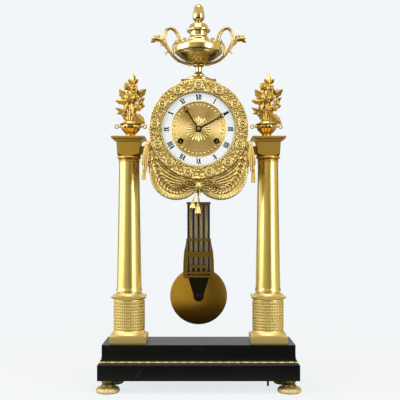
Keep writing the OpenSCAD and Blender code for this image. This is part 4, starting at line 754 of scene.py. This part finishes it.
def blossom(cast, place, r):
    """A full blossom of a bouquet: two rounds of lobed petals about a button, as one lathe."""

    def petals(a, q, h):
        u = q / r
        notch = abs(math.cos(PETALS * a / 2 + (0 if u > 0.6 else math.pi / 2))) ** 0.6 - 1
        return 0.24 * q * notch * min(1, abs(u - 0.6) / 0.14) if u > 0.24 else 0

    cast.add(turned([(r * max(p.x, 0.02), r * p.y) for p in BLOSSOM_LINE], 12 * PETALS, petals), place)


def rosette(cast, place, r):
    """A flat bezel flower: eight broad petals round a groove, and a button in the middle."""

    def petals(a, q, h):
        return 0.2 * q * (abs(math.cos(ROSETTE_PETALS * a / 2)) ** 0.5 - 1) if q > 0.7 * r else 0

    cast.add(turned([(q * r, h) for q, h in ROSETTE_LINE], 12 * ROSETTE_PETALS, petals), place)


print("flower lines of", len(BLOSSOM_LINE), "and", len(ROSETTE_LINE), "points")

# %% Wreath
ROSETTES, ROSETTE_R, ROSETTE_LANE = 13, 7.0, 59.6
EDGE_BEADS, EDGE_LANE = 110, 51.3
# Lanes of leaves between two flowers: distance from the dial's centre, count, length, width and aim.
LEAF_LANES = ((63.0, 6, 4.8, 3.0, 0), (59.8, 5, 5.2, 3.2, 40), (57.4, 4, 5.0, 3.2, 120), (54.8, 5, 4.2, 2.6, 180))
BERRIES = 9
# How far forward the beads and berries, the flowers and the leaves sit.
BEAD_F, ROSETTE_F, LEAF_F = 36.1, 36.9, 35.9
rnd = random.Random(7)
wreath = Casting()
at_dial = on_front(0, DIAL_Z, 0)
band = [(50, 31.1), (55.8, 31.1), (55.8, 34.1), (66.8, 34.1), (67.4, 34.6), (67.4, 35.4), (66.6, 36.0),
        (65.4, 35.6), (60, 35.9), (54.4, 35.6), (52.9, 36.2), (52.4, 35.4), (51.9, 36.0), (50.6, 36.0), (50, 35.2)]
wreath.add(turned(band, 180, looped=True), at_dial)
for k in range(EDGE_BEADS):
    wreath.add(ball(1.0, 1.0, 8), round_dial(EDGE_LANE, math.tau * k / EDGE_BEADS, BEAD_F))
for k in range(ROSETTES):
    up = 90 - 360 * k / ROSETTES
    rosette(wreath, round_dial(ROSETTE_LANE, math.radians(up), ROSETTE_F, up + rnd.uniform(-12, 12)), ROSETTE_R)
    gap = up - 180 / ROSETTES
    for lane, count, long, wide, aim in LEAF_LANES:
        for j in range(count):
            spread = (j - (count - 1) / 2) * 15 / count
            b = math.radians(gap + spread + rnd.uniform(-0.8, 0.8))
            r = lane + rnd.uniform(-0.5, 0.5)
            turn = math.degrees(b) + (aim if j % 2 else -aim) + rnd.uniform(-22, 22)
            blade = leaf(long * rnd.uniform(0.85, 1.05), wide, thick=0.9, curl=0.08, cup=0.2, rows=7)
            wreath.add(blade, round_dial(r, b, LEAF_F + rnd.uniform(0, 0.3), turn, rnd.uniform(4, 12)))
    for j in range(BERRIES):
        b = math.radians(gap + rnd.uniform(-9, 9))
        r = rnd.uniform(53.6, 65.6)
        berry = ball(rnd.uniform(0.7, 1.1), 1, 8)
        wreath.add(berry, round_dial(r, b, BEAD_F + rnd.uniform(0, 0.5)))
# A deeper gilded ring behind the leaves: painted shade in the gaps between them.
ground = Casting()
ground.add(turned([(53.4, 35.4), (53.4, 36.05), (66.2, 36.05), (66.2, 35.4)], 144, looped=True), at_dial)
ground.piece("bezel_ground", "gilt_bronze", gilt["shade_deepened_gilt_bronze"])
wreath.piece("bezel_wreath", "gilt_bronze", finishes["gilt_bronze"], replaces=("bezel",))

# %% [markdown]
# ## The swag
# Under the bezel hangs a bronze cloth in two lobes, with soft folds from a knot at each side to the bow in the
# middle, a fluted fringe along the edge and a laurel garland. A simulation could fold a cloth, but these folds were
# modelled to a pattern and cast. The cloth is star-shaped as seen from the dial's centre, so it is one polar grid,
# and its front height is a formula: folds, fringe and matting each add their relief, and the garland lies in a bed.
# The ends of the cloth hang beside the columns as pleated tails, each with a tassel. They are a casting of their own,
# with a deeper gilding painted as shade.

# %% Outline of the cloth
LOBE_X, LOBE_DROP, LOBE_R, FRINGE = 30.0, 60.0, 36.0, 8.6
CLOTH_BACK, CLOTH_FACE = RING_FACE - 3, RING_FACE
# The radius at which the relief starts, and half the width of the drape.
EDGE, OUTER = 68.0, 67.4
# The plate's radius below and above the shoulders, and how far below the dial's centre these and the drape begin.
SHOULDER, UPPER = 72.6, 66.0
SHOULDER_Z, DRAPE_Z = -18, -20


def reach(angle):
    """How far the cloth reaches from the dial's centre at an angle."""
    u = Vector((math.cos(angle), math.sin(angle)))
    far = SHOULDER if u.y * SHOULDER < SHOULDER_Z else UPPER
    drape = OUTER / max(abs(u.x), 0.01)
    if -LOBE_DROP < drape * u.y < DRAPE_Z:
        far = max(far, drape)
    for s in (-1, 1):
        centre = Vector((s * LOBE_X, -LOBE_DROP))
        along = u.dot(centre)
        inside = along * along - centre.length_squared + LOBE_R * LOBE_R
        if inside > 0 and along > 0:
            far = max(far, along + math.sqrt(inside))
    return far


print("the cloth reaches", round(reach(math.radians(-63)), 1), "mm from the dial's centre through a lobe")

# %% Relief of the cloth
GARLAND = through([(62, -31), (56.5, -53), (49.4, -69), (38.6, -79.4), (28, -82.8), (17, -77.6), (9, -75.6)], 3)
GARLAND_BED, GARLAND_Z = 5.0, -26
# The folds fan out from the knot over this angle.
KNOT, FAN = math.radians(-20), math.radians(66)
FOLD_REACH, FOLD_PITCH, FOLD_RISE = 17, 4.3, 2.3
FRINGE_Z, FLUTES = -52, 88


def cloth_height(x, z):
    """Height of the cloth's front above its plate."""
    r = math.hypot(x, z)
    if r < EDGE - 0.2:
        return 0.0
    ease = min(1.0, (r - EDGE + 0.2) / 1.2)
    angle = math.atan2(z, abs(x))
    t = min(1.0, max(0.0, (KNOT - angle) / FAN))
    fan = math.sin(math.pi * t)
    high = 0.15
    fold = (r - EDGE - 1.5) / max(0.35, fan)
    if angle < KNOT and fold < FOLD_REACH:
        ridge = abs(math.cos(math.pi * fold / FOLD_PITCH)) ** 0.8
        high = 0.4 + FOLD_RISE * ridge * (1 - 0.35 * fold / FOLD_REACH)
    side = 1 if x >= 0 else -1
    d = math.hypot(x - side * LOBE_X, z + LOBE_DROP)
    if d > LOBE_R - FRINGE and z < FRINGE_Z and fold > 6:
        round_edge = math.sqrt(max(0.0, 1 - ((d - LOBE_R + FRINGE / 2) / (FRINGE / 2)) ** 2))
        around = math.atan2(z + LOBE_DROP, x - side * LOBE_X)
        high = max(high * 0.4, 0.5 + 1.7 * round_edge ** 0.6 + 0.3 * math.cos(FLUTES * around))
    elif fold >= FOLD_REACH:
        high = 0.4 + 0.3 * noise.noise(Vector((x * 0.42, z * 0.42, 3.1)))
    if z < GARLAND_Z:
        near = min(math.hypot(abs(x) - p.x, z - p.y) for p in GARLAND) / GARLAND_BED
        high *= min(1.0, near * near)
    return ease * high


ROUND, RADIAL, INNER = 960, 46, 55.95
angles = [math.tau * k / ROUND for k in range(ROUND)]
far = [reach(a) for a in angles]
cloth = []
for i in range(-1, RADIAL + 1):
    row = []
    for a, f in zip(angles, far):
        start = min(EDGE - 1.0, f - 0.6)
        r = INNER if i < 0 else start + (f - start) * (i / RADIAL) ** 0.92
        x, z = r * math.cos(a), r * math.sin(a)
        high = cloth_height(x, z) if i < RADIAL else 0.0
        row.append((x, -CLOTH_FACE - high, DIAL_Z + z))
    cloth.append(row)
cloth.append([(x, -CLOTH_BACK, z) for x, y, z in cloth[-1]])
cloth.append([(x, -CLOTH_BACK, z) for x, y, z in cloth[0]])
swag = Casting()
swag.add(skin(cloth, looped=True))
print("cloth:", len(swag.faces), "faces")

# %% Garland and side knots
LEAF_LIFT = CLOTH_FACE + 1.6
KNOT_X, KNOT_DROP = 69.6, 19.5
KNOT_LINE = ((0.2, 2.6), (2.2, 2.2), (3.6, 0.6), (3.9, -1.2), (3.4, -2.6))
for s in (-1, 1):
    for i in range(1, len(GARLAND) - 1):
        p = GARLAND[i]
        way = GARLAND[i + 1] - GARLAND[i - 1]
        turn = math.degrees(math.atan2(way.y, way.x))
        for splay in (-44, 42):
            swag.add(leaf(8.4, 3.2, thick=1.3, curl=0.12, cup=0.45, full=0.7),
                     on_front(s * p.x, DIAL_Z + p.y, LEAF_LIFT, sided(turn + splay, s), 14))
        swag.add(leaf(5, 1.9, thick=1.1, curl=0.1, cup=0.4, rows=8),
                 on_front(s * p.x, DIAL_Z + p.y, LEAF_LIFT + 0.6, sided(turn, s), 12))
    swag.add(swept([Vector((s * p.x, -CLOTH_FACE - 0.8, DIAL_Z + p.y)) for p in GARLAND], 1.0, 6))
    swag.add(turned(KNOT_LINE, 24, lambda a, r, h: 0.35 * math.cos(7 * a)),
             on_front(s * KNOT_X, DIAL_Z - KNOT_DROP, CLOTH_FACE - 0.6, 90 - s * 12))
# The cloth gathered under the bow: pleats that narrow downwards.
GATHER_TOP, GATHER_LONG, GATHER_HALF, GATHER_TAPER = -76, 10.4, 7.6, 4.4
gather = []
for i in range(9):
    t = i / 8
    z, half_wide = GATHER_TOP - GATHER_LONG * t, GATHER_HALF - GATHER_TAPER * t
    pleats = [(half_wide * (k / 20 - 1), -CLOTH_FACE - 1.4 - 0.8 * math.cos(math.pi * k / 4), DIAL_Z + z)
              for k in range(41)]
    gather.append(pleats + [(x, -CLOTH_FACE + 0.6, zz) for x, y, zz in reversed(pleats)])
swag.add(skin(gather))
print("garland:", 2 * (len(GARLAND) - 2), "tufts of three leaves")

# %% Pleated tails
TAIL_X, TASSEL_X, TASSEL_DROP = 70, 74, 55
# Each pleat: where it ends in x and z from the dial's centre, and its radius.
PLEATS = ((76, -49, 1.5), (74, -55.5, 1.9), (71.4, -57, 2.0), (69, -51, 1.9), (66.8, -43, 1.7))
# The left and the right tassel end this far below the dial's centre.
TASSEL_ENDS = ((-1, 69), (1, 73))
tails = Casting()
for s, drop in TASSEL_ENDS:
    for x, low, r in PLEATS:
        pleat = through([(s * (TAIL_X + share * (x - TAIL_X)), -CLOTH_BACK - forward, DIAL_Z + z)
                         for share, forward, z in ((0, 2.2, -17), (0.5, 3.0, -27), (0.9, 3.2, -40), (1, 2.6, low))],
                        6)
        tails.add(swept(pleat, lambda t: r * (0.6 + 0.35 * t), 14, 2.3))
    skirt = [(0.4, 2), (1.9, 1.4), (2.3, 0.2), (1.8, -1), (2.4, -2.2), (2.9, 57 - drop), (3.3, 55.6 - drop),
             (0.3, 55.4 - drop)]
    tails.add(turned(skirt, 64, lambda a, r, h: 0.26 * math.cos(16 * a) if h < -1.5 else 0),
              Matrix.Translation((s * TASSEL_X, -CLOTH_BACK - 2.8, DIAL_Z - TASSEL_DROP)))
tails.piece("pleated_tails", "gilt_bronze", gilt["shade_deepened_gilt_bronze"])
swag.piece("draped_swag", "gilt_bronze", gilt["draped_gilt_bronze"], replaces=("swag",))

# %% [markdown]
# ## Bow and tassels
# A ribbon bow ties the two lobes, and two cords with tassels hang from it in front of the pendulum, all cast in
# bronze. The loops are flat bars swept along the same curves as the CAD bow, because a swept bar keeps its width
# through a loop. A cord is two thin bars twisted together, and a tassel is a lathe with a fluted skirt of threads.

# %% Bow and tassels
BOW_Z, BOW_F = DIAL_Z - 77, RING_FACE + 5
# Points of the right half: x, forward and z from the knot.
LOOP_LINE = ((1.5, 0, 1), (9, 0.8, 6.6), (16, 0.9, 7.6), (19.4, 0.6, 4), (16.5, 0.8, 0.6), (9.6, 0.9, -1.4),
             (1.5, 0, -1))
RIBBON_LINE = ((2, 0.4, -1.4), (6.5, 0.6, -4.4), (11, 0.2, -5.6), (15, -0.4, -8))
# Each cord with the length of its tassel's skirt.
CORDS = ((((-1, 0, -1), (-4.5, 0, -10), (-7, 0, -17), (-8, 0, -22.4)), 6),
         (((1, 0, -1), (1.6, 0, -10), (0, 0, -18), (-1, 0, -26.4)), 9))
bow = Casting()
bow.add(turned([(2.4, 1.5), (2.4, 4.6)], 16), on_front(0, BOW_Z, RING_FACE))
bow.add(turned([(0.3, 2.3), (2.4, 1.9), (4.0, 0.6), (4.4, -0.6), (3.4, -2.0), (0.4, -2.4)], 26,
               lambda a, r, h: 0.3 * r / 4 * math.cos(6 * a)), on_front(0, BOW_Z, BOW_F))


def front_line(points, steps, s=1):
    """A smooth line in front of the swag, from the bow's knot; s of -1 mirrors it."""
    return through([(s * x, -BOW_F - f, BOW_Z + z) for x, f, z in points], steps)


for s in (-1, 1):
    bow.add(swept(front_line(LOOP_LINE, 6, s), lambda t: 0.75 + 0.15 * math.sin(math.pi * t), 10, 2.6))
    bow.add(swept(front_line(RIBBON_LINE, 5, s), lambda t: 0.8 + 0.6 * t, 10, 0.8))
for points, long in CORDS:
    line = front_line(points, 8)
    for k in range(2):
        turns = [i * 0.9 + k * math.pi for i in range(len(line))]
        strand = [p + 0.5 * Vector((math.cos(a), math.sin(a), 0)) for p, a in zip(line, turns)]
        bow.add(swept(strand, 0.62, 6))
    shape = [(0.5, 1.8), (1.6, 1.3), (2.1, 0.1), (1.6, -1), (2.3, -1.9), (2.9, -3.8), (3.5, -long),
             (3.8, -long - 1.4), (0.3, -long - 1.5)]
    bow.add(turned(shape, 56, lambda a, r, h: 0.26 * math.cos(14 * a) if h < -1.4 else 0),
            Matrix.Translation(line[-1]))
bow.piece("ribbon_bow", "gilt_bronze", finishes["gilt_bronze"], replaces=("bow_and_tassels",))

# %% [markdown]
# ## Dial: numerals and engraving
# The hours are painted on the enamel in plain Roman numerals that stand on the inner edge, with a dot for each
# minute and a small diamond at each hour. A picture could carry them, but thin shapes a few hundredths of a
# millimetre proud keep their edges sharp at any size and exist in the mesh. The paint is black enamel, fired on:
# it is as glossy as the white. The gilt centre carries a sunburst and a ring of dots.

# %% Black paint
# Painted with a brush and fired: a black gloss, a little uneven. The marks of the brush are drawn 1.2 mm wide,
# coarser than real ones, so that they show.
material, tree = new_material("fired_black_paint")
place = add(tree, "ShaderNodeTexCoord").outputs["Object"]
wear = add(tree, "ShaderNodeTexNoise", {"Vector": place, "Scale": 1 / (1.2 * MM), "Detail": 2})
ink = add(tree, "ShaderNodeMix", {
    "Factor": wear.outputs["Fac"], COL_A: tint("#0e0e12"), COL_B: tint("#1c1c22")}, data_type="RGBA")
paint_shader = add(tree, "ShaderNodeBsdfPrincipled", {
    "Base Color": ink.outputs[COL_OUT], "Roughness": 0.25, "IOR": 1.5})
add(tree, "ShaderNodeOutputMaterial", {"Surface": paint_shader.outputs[0]})
INK = material
print("paint:", len(tree.nodes), "nodes")

# %% Painted numerals
NUM_LOW, NUM_HIGH = 39.8, 46.9
NUM_TALL = NUM_HIGH - NUM_LOW
THICK, THIN, UPRIGHT, SERIF = 1.75, 0.65, 1.45, 0.3
MINUTE_LANE, PROUD = 48.4, 0.06
# Two dark pins in the gilt centre: x and z from its middle.
PINS, PIN_R = ((-32.5, 4), (31, -5.5)), 0.8
HOURS = ("XII", "I", "II", "III", "IIII", "V", "VI", "VII", "VIII", "IX", "X", "XI")
SPACE = {"I": 1.95, "V": 3.8, "X": 3.9}
# Strokes of each sign: foot and head, from the middle of its space, and width.
STROKES = {"I": ((0, 0, UPRIGHT),), "V": ((0, -1.2, THICK), (0.1, 1.3, THIN)),
           "X": ((1.2, -1.2, THICK), (-1.2, 1.2, THIN))}
enamel_front = on_front(0, DIAL_Z, DIAL_FACE)
figures = Casting()


def flat(outline, place):
    """A painted patch: the outline lies on the enamel and stands a little proud."""
    figures.add(skin([[(x, y, h) for x, y in outline] for h in (-0.1, PROUD)]), place)


def dot_outline(size, count, tall=1.0):
    """A small polygon, such as a round dot or a diamond."""
    turns = [math.tau * k / count for k in range(count)]
    return [(size * math.cos(a), tall * size * math.sin(a)) for a in turns]


for hour, text in enumerate(HOURS):
    spin = (enamel_front @ Matrix.Rotation(math.radians(-30 * hour), 4, "Z")
            @ Matrix.Translation((0, NUM_LOW, 0)))
    half = sum(SPACE[c] for c in text) / 2
    x = -half
    for c in text:
        mid = x + SPACE[c] / 2
        for foot, head, wide in STROKES[c]:
            x0, x1 = mid + foot, mid + head
            flat(((x0 - wide / 2, 0), (x0 + wide / 2, 0), (x1 + wide / 2, NUM_TALL), (x1 - wide / 2, NUM_TALL)),
                 spin)
        x += SPACE[c]
    for y in (0, NUM_TALL - SERIF):
        flat(((-half, y), (half, y), (half, y + SERIF), (-half, y + SERIF)), spin)
for minute in range(60):
    size, count = (0.62, 4) if minute % 5 == 0 else (0.26, 8)
    mark = (enamel_front @ Matrix.Rotation(math.radians(-6 * minute), 4, "Z")
            @ Matrix.Translation((0, MINUTE_LANE, 0)))
    flat(dot_outline(size, count, 1.3), mark)
for x, z in PINS:
    flat(dot_outline(PIN_R, 12), on_front(x, DIAL_Z + z, DIAL_FACE))
figures.piece("painted_numerals", "blued_steel", INK)

# %% Sunburst of the dial centre
RAYS, RAY_START, LONG_RAY, SHORT_RAY = 24, 4.0, 13.6, 12.2
DOTS, DOT_LANE = 38, 33.2
# Thin rims round the dots: radius, and half the thickness.
RIMS = ((37.4, 0.5), (29.8, 0.25))
# Along a ray: share of its length, half width and height.
RAY_LINE = ((0, 0.45, 0.2), (0.3, 0.85, 0.5), (0.65, 1.45, 0.75), (0.86, 1.35, 0.55), (0.96, 0.8, 0.2),
            (1, 0.2, -0.1))
sun = Casting()
for k in range(RAYS):
    long = SHORT_RAY if k % 2 else LONG_RAY
    ray = (enamel_front @ Matrix.Rotation(math.tau * k / RAYS, 4, "Z")
           @ Matrix.Translation((RAY_START, 0, 0)))
    sun.add(skin([[(t * long, -w, -0.2), (t * long, 0, h), (t * long, w, -0.2)] for t, w, h in RAY_LINE]), ray)
for k in range(DOTS):
    a = math.tau * k / DOTS
    place = round_dial(DOT_LANE, a, DIAL_FACE - 0.3, math.degrees(a))
    sun.add(ball(1.35, 0.7, 12), place @ Matrix.Diagonal((1.3, 0.9, 1, 1)))
for r, thick in RIMS:
    ring = [(r + x, y) for x, y in dot_outline(thick, 8)]
    sun.add(turned(ring, 144, looped=True), enamel_front)
sun.piece("dial_sunburst", "gilt_bronze", finishes["gilt_bronze"], sharp=25)

# %% [markdown]
# ## Brass rods of the gridiron
# The brass rods stand close between the steel ones and run down to the bar above the bob. They are drawn rods with
# eased ends, so each is a lathe, a little stouter than its hole in the bars, and their brass is darkened as painted
# shade.

# %% Brass rods
rod_low, rod_high = (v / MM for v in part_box("brass_rods"))
ROD_Y = middle("brass_rods").y
ROD_COUNT, ROD_R, ROD_DOWN, EASE = 4, 2.14, 9.0, 0.4
rod_pitch = (rod_high.x - rod_low.x - (rod_high.y - rod_low.y)) / (ROD_COUNT - 1)
rod_end = rod_low.z - ROD_DOWN
rod_line = [(ROD_R - EASE, rod_end), (ROD_R, rod_end + EASE), (ROD_R, rod_high.z - EASE),
            (ROD_R - EASE, rod_high.z)]
rods = Casting()
for k in range(ROD_COUNT):
    rods.add(turned(rod_line, 28), Matrix.Translation(((k - (ROD_COUNT - 1) / 2) * rod_pitch, ROD_Y, 0)))
rods.piece("drawn_brass_rods", "clock_brass", metals["shade_darkened_drawn_brass"], body="pendulum",
           replaces=("brass_rods",))

# %% [markdown]
# ## Flower vases and bouquets
# A small gadrooned vase with ring handles stands on each capital, full of flowers. The two bouquets came from one
# pattern, so one set of shapes is copied to both. Its leaves follow the sprays in the photograph; more leaves behind
# them fill it out, so it is a round bunch from every side.

# %% Vases
BELL = ((7.6, 0), (7.8, 0.8), (7.4, 1.5), (6.5, 2.2), (6.2, 3.2), (6.9, 4.6), (8.6, 6.6), (10.6, 9.2), (12.3, 12),
        (13.4, 14.6), (13.7, 16.2), (12.9, 17))
LIP = [(12.9, 17.2), (15.6, 17.9), (15.9, 18.3), (15.6, 18.8), (12.4, 19.2), (0.5, 19.2)]
GADROONS, GADROON_LOW, GADROON_TALL = 11, 4.4, 12
HANDLE_X, HANDLE_Z = 19.9, 15.4
RING_LINE = [(2.4 + x, y) for x, y in dot_outline(0.8, 10)]


def gadroons(a, r, h):
    """Relief of the gadroons, which die out towards the foot and the lip."""
    if GADROON_LOW < h < GADROON_LOW + GADROON_TALL:
        rise = math.sin(math.pi * (h - GADROON_LOW) / GADROON_TALL) ** 0.6
        return 1.1 * abs(math.cos(GADROONS * a / 2)) ** 0.8 * rise * r / 11 - 0.2
    return 0


for side in ("left", "right"):
    axis = middle("vase_" + side).x
    vase = Casting()
    vase.add(turned([(p.x, p.y) for p in through(BELL, 4)] + LIP, 140, gadroons),
             Matrix.Translation((axis, 0, CAPITAL_TOP)))
    for s in (-1, 1):
        vase.add(turned(RING_LINE, 28, looped=True), on_front(axis + s * HANDLE_X, CAPITAL_TOP + HANDLE_Z, 0))
        arm = through([(axis + s * x, 0, CAPITAL_TOP + z) for x, z in ((12.8, 14.4), (15, 14.9), (17.4, 15.4))], 5)
        vase.add(swept(arm, lambda t: 1.3 - 0.3 * t, 10))
    vase.piece("gadrooned_vase_" + side, "dark_gilt", gilt["toned_mirror_gilt"], replaces=("vase_" + side,))

# %% Bouquet
# Each leaf: x, z and forward from the middle of the capital's top, angle, lean, length and width.
LEAVES = ((-4, 53, 2, 132, -8, 19, 11), (-4, 50, 2.6, 176, -8, 17.5, 9.5), (7, 57, 1.4, 31, 10, 18.5, 11),
          (9, 47, 2, 36, 8, 14.5, 6.6), (8, 43, 0.6, 4, 8, 13, 7), (-6, 35, 2, 158, -8, 17, 6),
          (-11, 36, 1.4, 198, -8, 9, 5), (-5, 30, 0, 165, -8, 9, 5), (-3, 24, 4, 150, -10, 10, 6),
          (5, 32, 7, -42, -8, 20, 13), (3.4, 74, 0, 88, 0, 16, 7.4), (4, 75, 1.5, 44, 6, 9.5, 6),
          (3, 75, 1, 134, 0, 9.5, 6), (-3, 65, 1, 116, 0, 12, 8), (1, 24, 0, 70, 30, 22, 8),
          (-3.5, 40, 1, 110, -30, 20, 9), (5.6, 50, -1, 75, 20, 20, 9), (1, 47, 4, -76, 10, 11, 8),
          (-3.4, 46, 3, -118, 10, 10, 7), (5, 44, 3, -50, 10, 11, 7))
BACK_LEAVES = 34
# Each blossom: x, z, forward and radius. Each stem: points of x, forward and z.
BLOSSOMS = ((-1, 55, 5.6, 7.6), (13.5, 48.6, 3.4, 5), (-5, 71.5, 2.6, 5.4), (5, 69, 3.8, 5.4),
            (10.4, 41.6, 4.6, 5.8), (7, 56.6, 4, 5.4), (2, 63, 3.2, 5))
STEMS = (((-2, 0, 18.6), (-3, 1, 34), (-5, 2, 52), (-5, 1, 68)), ((2, 1, 18.6), (2, 0, 38), (1, 0, 58), (1, 0, 76)),
         ((0, 3, 18.6), (4, 3, 30), (10, 2, 41)), ((3, -1, 18.6), (5, -1, 40), (6, -1, 58)),
         ((-3, 2, 18.6), (-4, 2, 30), (-8, 2, 33)), ((-0.6, 2.4, 18.6), (-1, 3, 30), (-1.4, 2, 46)),
         ((1.4, 2, 18.6), (2.4, 2.4, 30), (3.4, 2, 46)))
MOUND = ((11.6, 19.0), (11.2, 20.2), (9, 22.2), (6, 23.8), (3, 24.8), (0.3, 25.2))
rnd = random.Random(21)
bunch = Casting()
bunch.add(turned(MOUND, 40, lambda a, r, h: 0.03 * r * math.cos(9 * a)))
for x, z, f, angle, lean, long, wide in LEAVES:
    blade = leaf(long, wide, thick=1.0, curl=0.1, cup=0.28, lobes=3 if wide > 7 else 0, rows=15, point=0.85,
                 full=0.7)
    bunch.add(blade, on_front(x, z, f, angle, lean, 16 if angle > 90 else -16))
for i in range(BACK_LEAVES):
    z = rnd.uniform(23, 72)
    a = math.radians(rnd.uniform(10, 170))
    out = 2.2 + 1.5 * math.sin(math.pi * (z - 20) / 56)
    base = Matrix.Translation((1.5 * math.cos(a) - 1, 1.5 * math.sin(a), z))
    aim = Matrix.Rotation(a, 4, "Z") @ Matrix.Rotation(math.radians(-rnd.uniform(15, 65)), 4, "Y")
    bunch.add(leaf(out * 2.6 * rnd.uniform(0.8, 1.2), rnd.uniform(3.6, 5.4), thick=0.8, curl=0.14, cup=0.3),
              base @ aim)
to_back = Matrix.Rotation(math.pi, 4, "Y") @ Matrix.Translation((0, 0, 3.4))
for x, z, f, r in BLOSSOMS:
    blossom(bunch, on_front(x, z, f, rnd.uniform(0, 60)), r)
    for k in range(2):
        blossom(bunch, on_front(-0.6 * x + k * 2, z - 6 + 9 * k, 0) @ to_back, r * 0.72)
for points in STEMS:
    bunch.add(swept(through([(x, -f, z) for x, f, z in points], 6), lambda t: 1.6 - 0.7 * t, 8))
for side in ("left", "right"):
    copy = Casting()
    copy.add((bunch.points, bunch.faces), Matrix.Translation((middle("vase_" + side).x, 0, CAPITAL_TOP)))
    copy.piece("bouquet_of_" + side, "dark_gilt", finishes["dark_gilt"], replaces=("bouquet_" + side,))

# %% [markdown]
# ## Urn: handles and calyx
# The urn's bowl, lid and acorn are plain turnings, so the CAD solids stay, with gildings of their own. Its handles
# are scrolled bars with leaves wrapped round them. They are made again here as swept bars, which can swell and taper
# along their length. A calyx of leaves holds the bowl from below.

# %% Handles
BOWL_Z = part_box("urn_bowl")[0].z / MM
# Lines of the right handle: x, and z from the foot of the bowl.
HORN = ((9, -1.4), (15, -0.3), (22.3, 1.9), (29.3, 5.4), (35.6, 11), (41.2, 18), (46.1, 25), (51, 30.6), (54.5, 33.7),
        (58.7, 35), (63, 34.6))
LOOP = ((40.5, 18), (44.9, 26.4), (47.2, 33.4), (47, 40.4), (44.7, 46.7), (39.8, 49.9), (34.9, 48.1), (30.7, 43.2),
        (27.9, 36.9), (25.8, 32), (22.3, 30.6), (18.9, 32), (18.7, 34.8), (20.9, 35.8))
STRAP = ((20.9, 28.4), (29.3, 29.5), (34.2, 27.8), (36.3, 23.6), (36.3, 18), (34.9, 12.6))
BARS = ((HORN, lambda t: 1.9 + 0.7 * t, 1.0), (LOOP, lambda t: 1.6 + 0.9 * math.sin(math.pi * t) ** 2, 1.1),
        (STRAP, lambda t: 1.5, 1.2))
# Small leaves along the bars: x, z, angle and length. Leaves at the end: the same, with a width.
SPRIGS = ((33.5, 29.6, 135, 6), (42.6, 17, -35, 6), (27, 6, -38, 5), (48, 27, 0, 6), (30, 40, 60, 5), (44, 45, 40, 5),
          (50, 30, 80, 5))
END_LEAVES = ((50.5, 31, 34, 15.5, 8.6), (57, 37.6, -38, 12.4, 6.4), (53, 33.4, 84, 7.4, 6), (56.5, 34, 8, 9.5, 7))
END_BALLS = ((20.6, 35.4, 1.9), (13.6, -1.6, 1.8))
for side, s in (("left", -1), ("right", 1)):
    handle = Casting()
    for points, radius, flat_by in BARS:
        handle.add(swept(through([(s * x, 0, BOWL_Z + z) for x, z in points], 6), radius, 10, flat_by))
    for x, z, angle, long in SPRIGS:
        for lean, curl in ((-22, -0.25), (22, 0.25)):
            handle.add(leaf(long, 3.4, thick=1.1, curl=curl, cup=0.2, rows=8),
                       on_front(s * x, BOWL_Z + z, 0, sided(angle, s), lean, 60))
    for x, z, angle, long, wide in END_LEAVES:
        for tilt in (-14, 14):
            handle.add(leaf(long, wide, thick=1.6, cup=0.2, point=1.2),
                       on_front(s * x, BOWL_Z + z, tilt / 14, sided(angle, s), 0, tilt))
    for x, z, r in END_BALLS:
        handle.add(ball(r), on_front(s * x, BOWL_Z + z, 0))
    handle.piece("scrolled_handle_" + side, "gilt_bronze", gilt["satin_gilt_bronze"],
                 replaces=("urn_handle_" + side,))

# %% Calyx
SEPALS = 10
# Outer and inner round of leaves: length, width, rise in degrees and where they start from the axis.
ROUNDS = ((9, 5.6, 16, 6.6), (7, 4.4, 10, 6.0))
calyx = Casting()
for k in range(SEPALS):
    for lane, (long, wide, rise, start) in enumerate(ROUNDS):
        a = math.tau * (k + 0.5) / SEPALS + lane * math.pi / SEPALS
        base = Matrix.Rotation(a, 4, "Z") @ Matrix.Translation((start, 0, BOWL_Z - 0.6 + lane * 0.2))
        aim = Matrix.Rotation(math.radians(-rise), 4, "Y") @ Matrix.Rotation(math.pi, 4, "X")
        calyx.add(leaf(long, wide, thick=0.9, curl=-0.04, cup=0.3), base @ aim)
calyx.piece("urn_calyx", "dark_gilt", finishes["dark_gilt"])
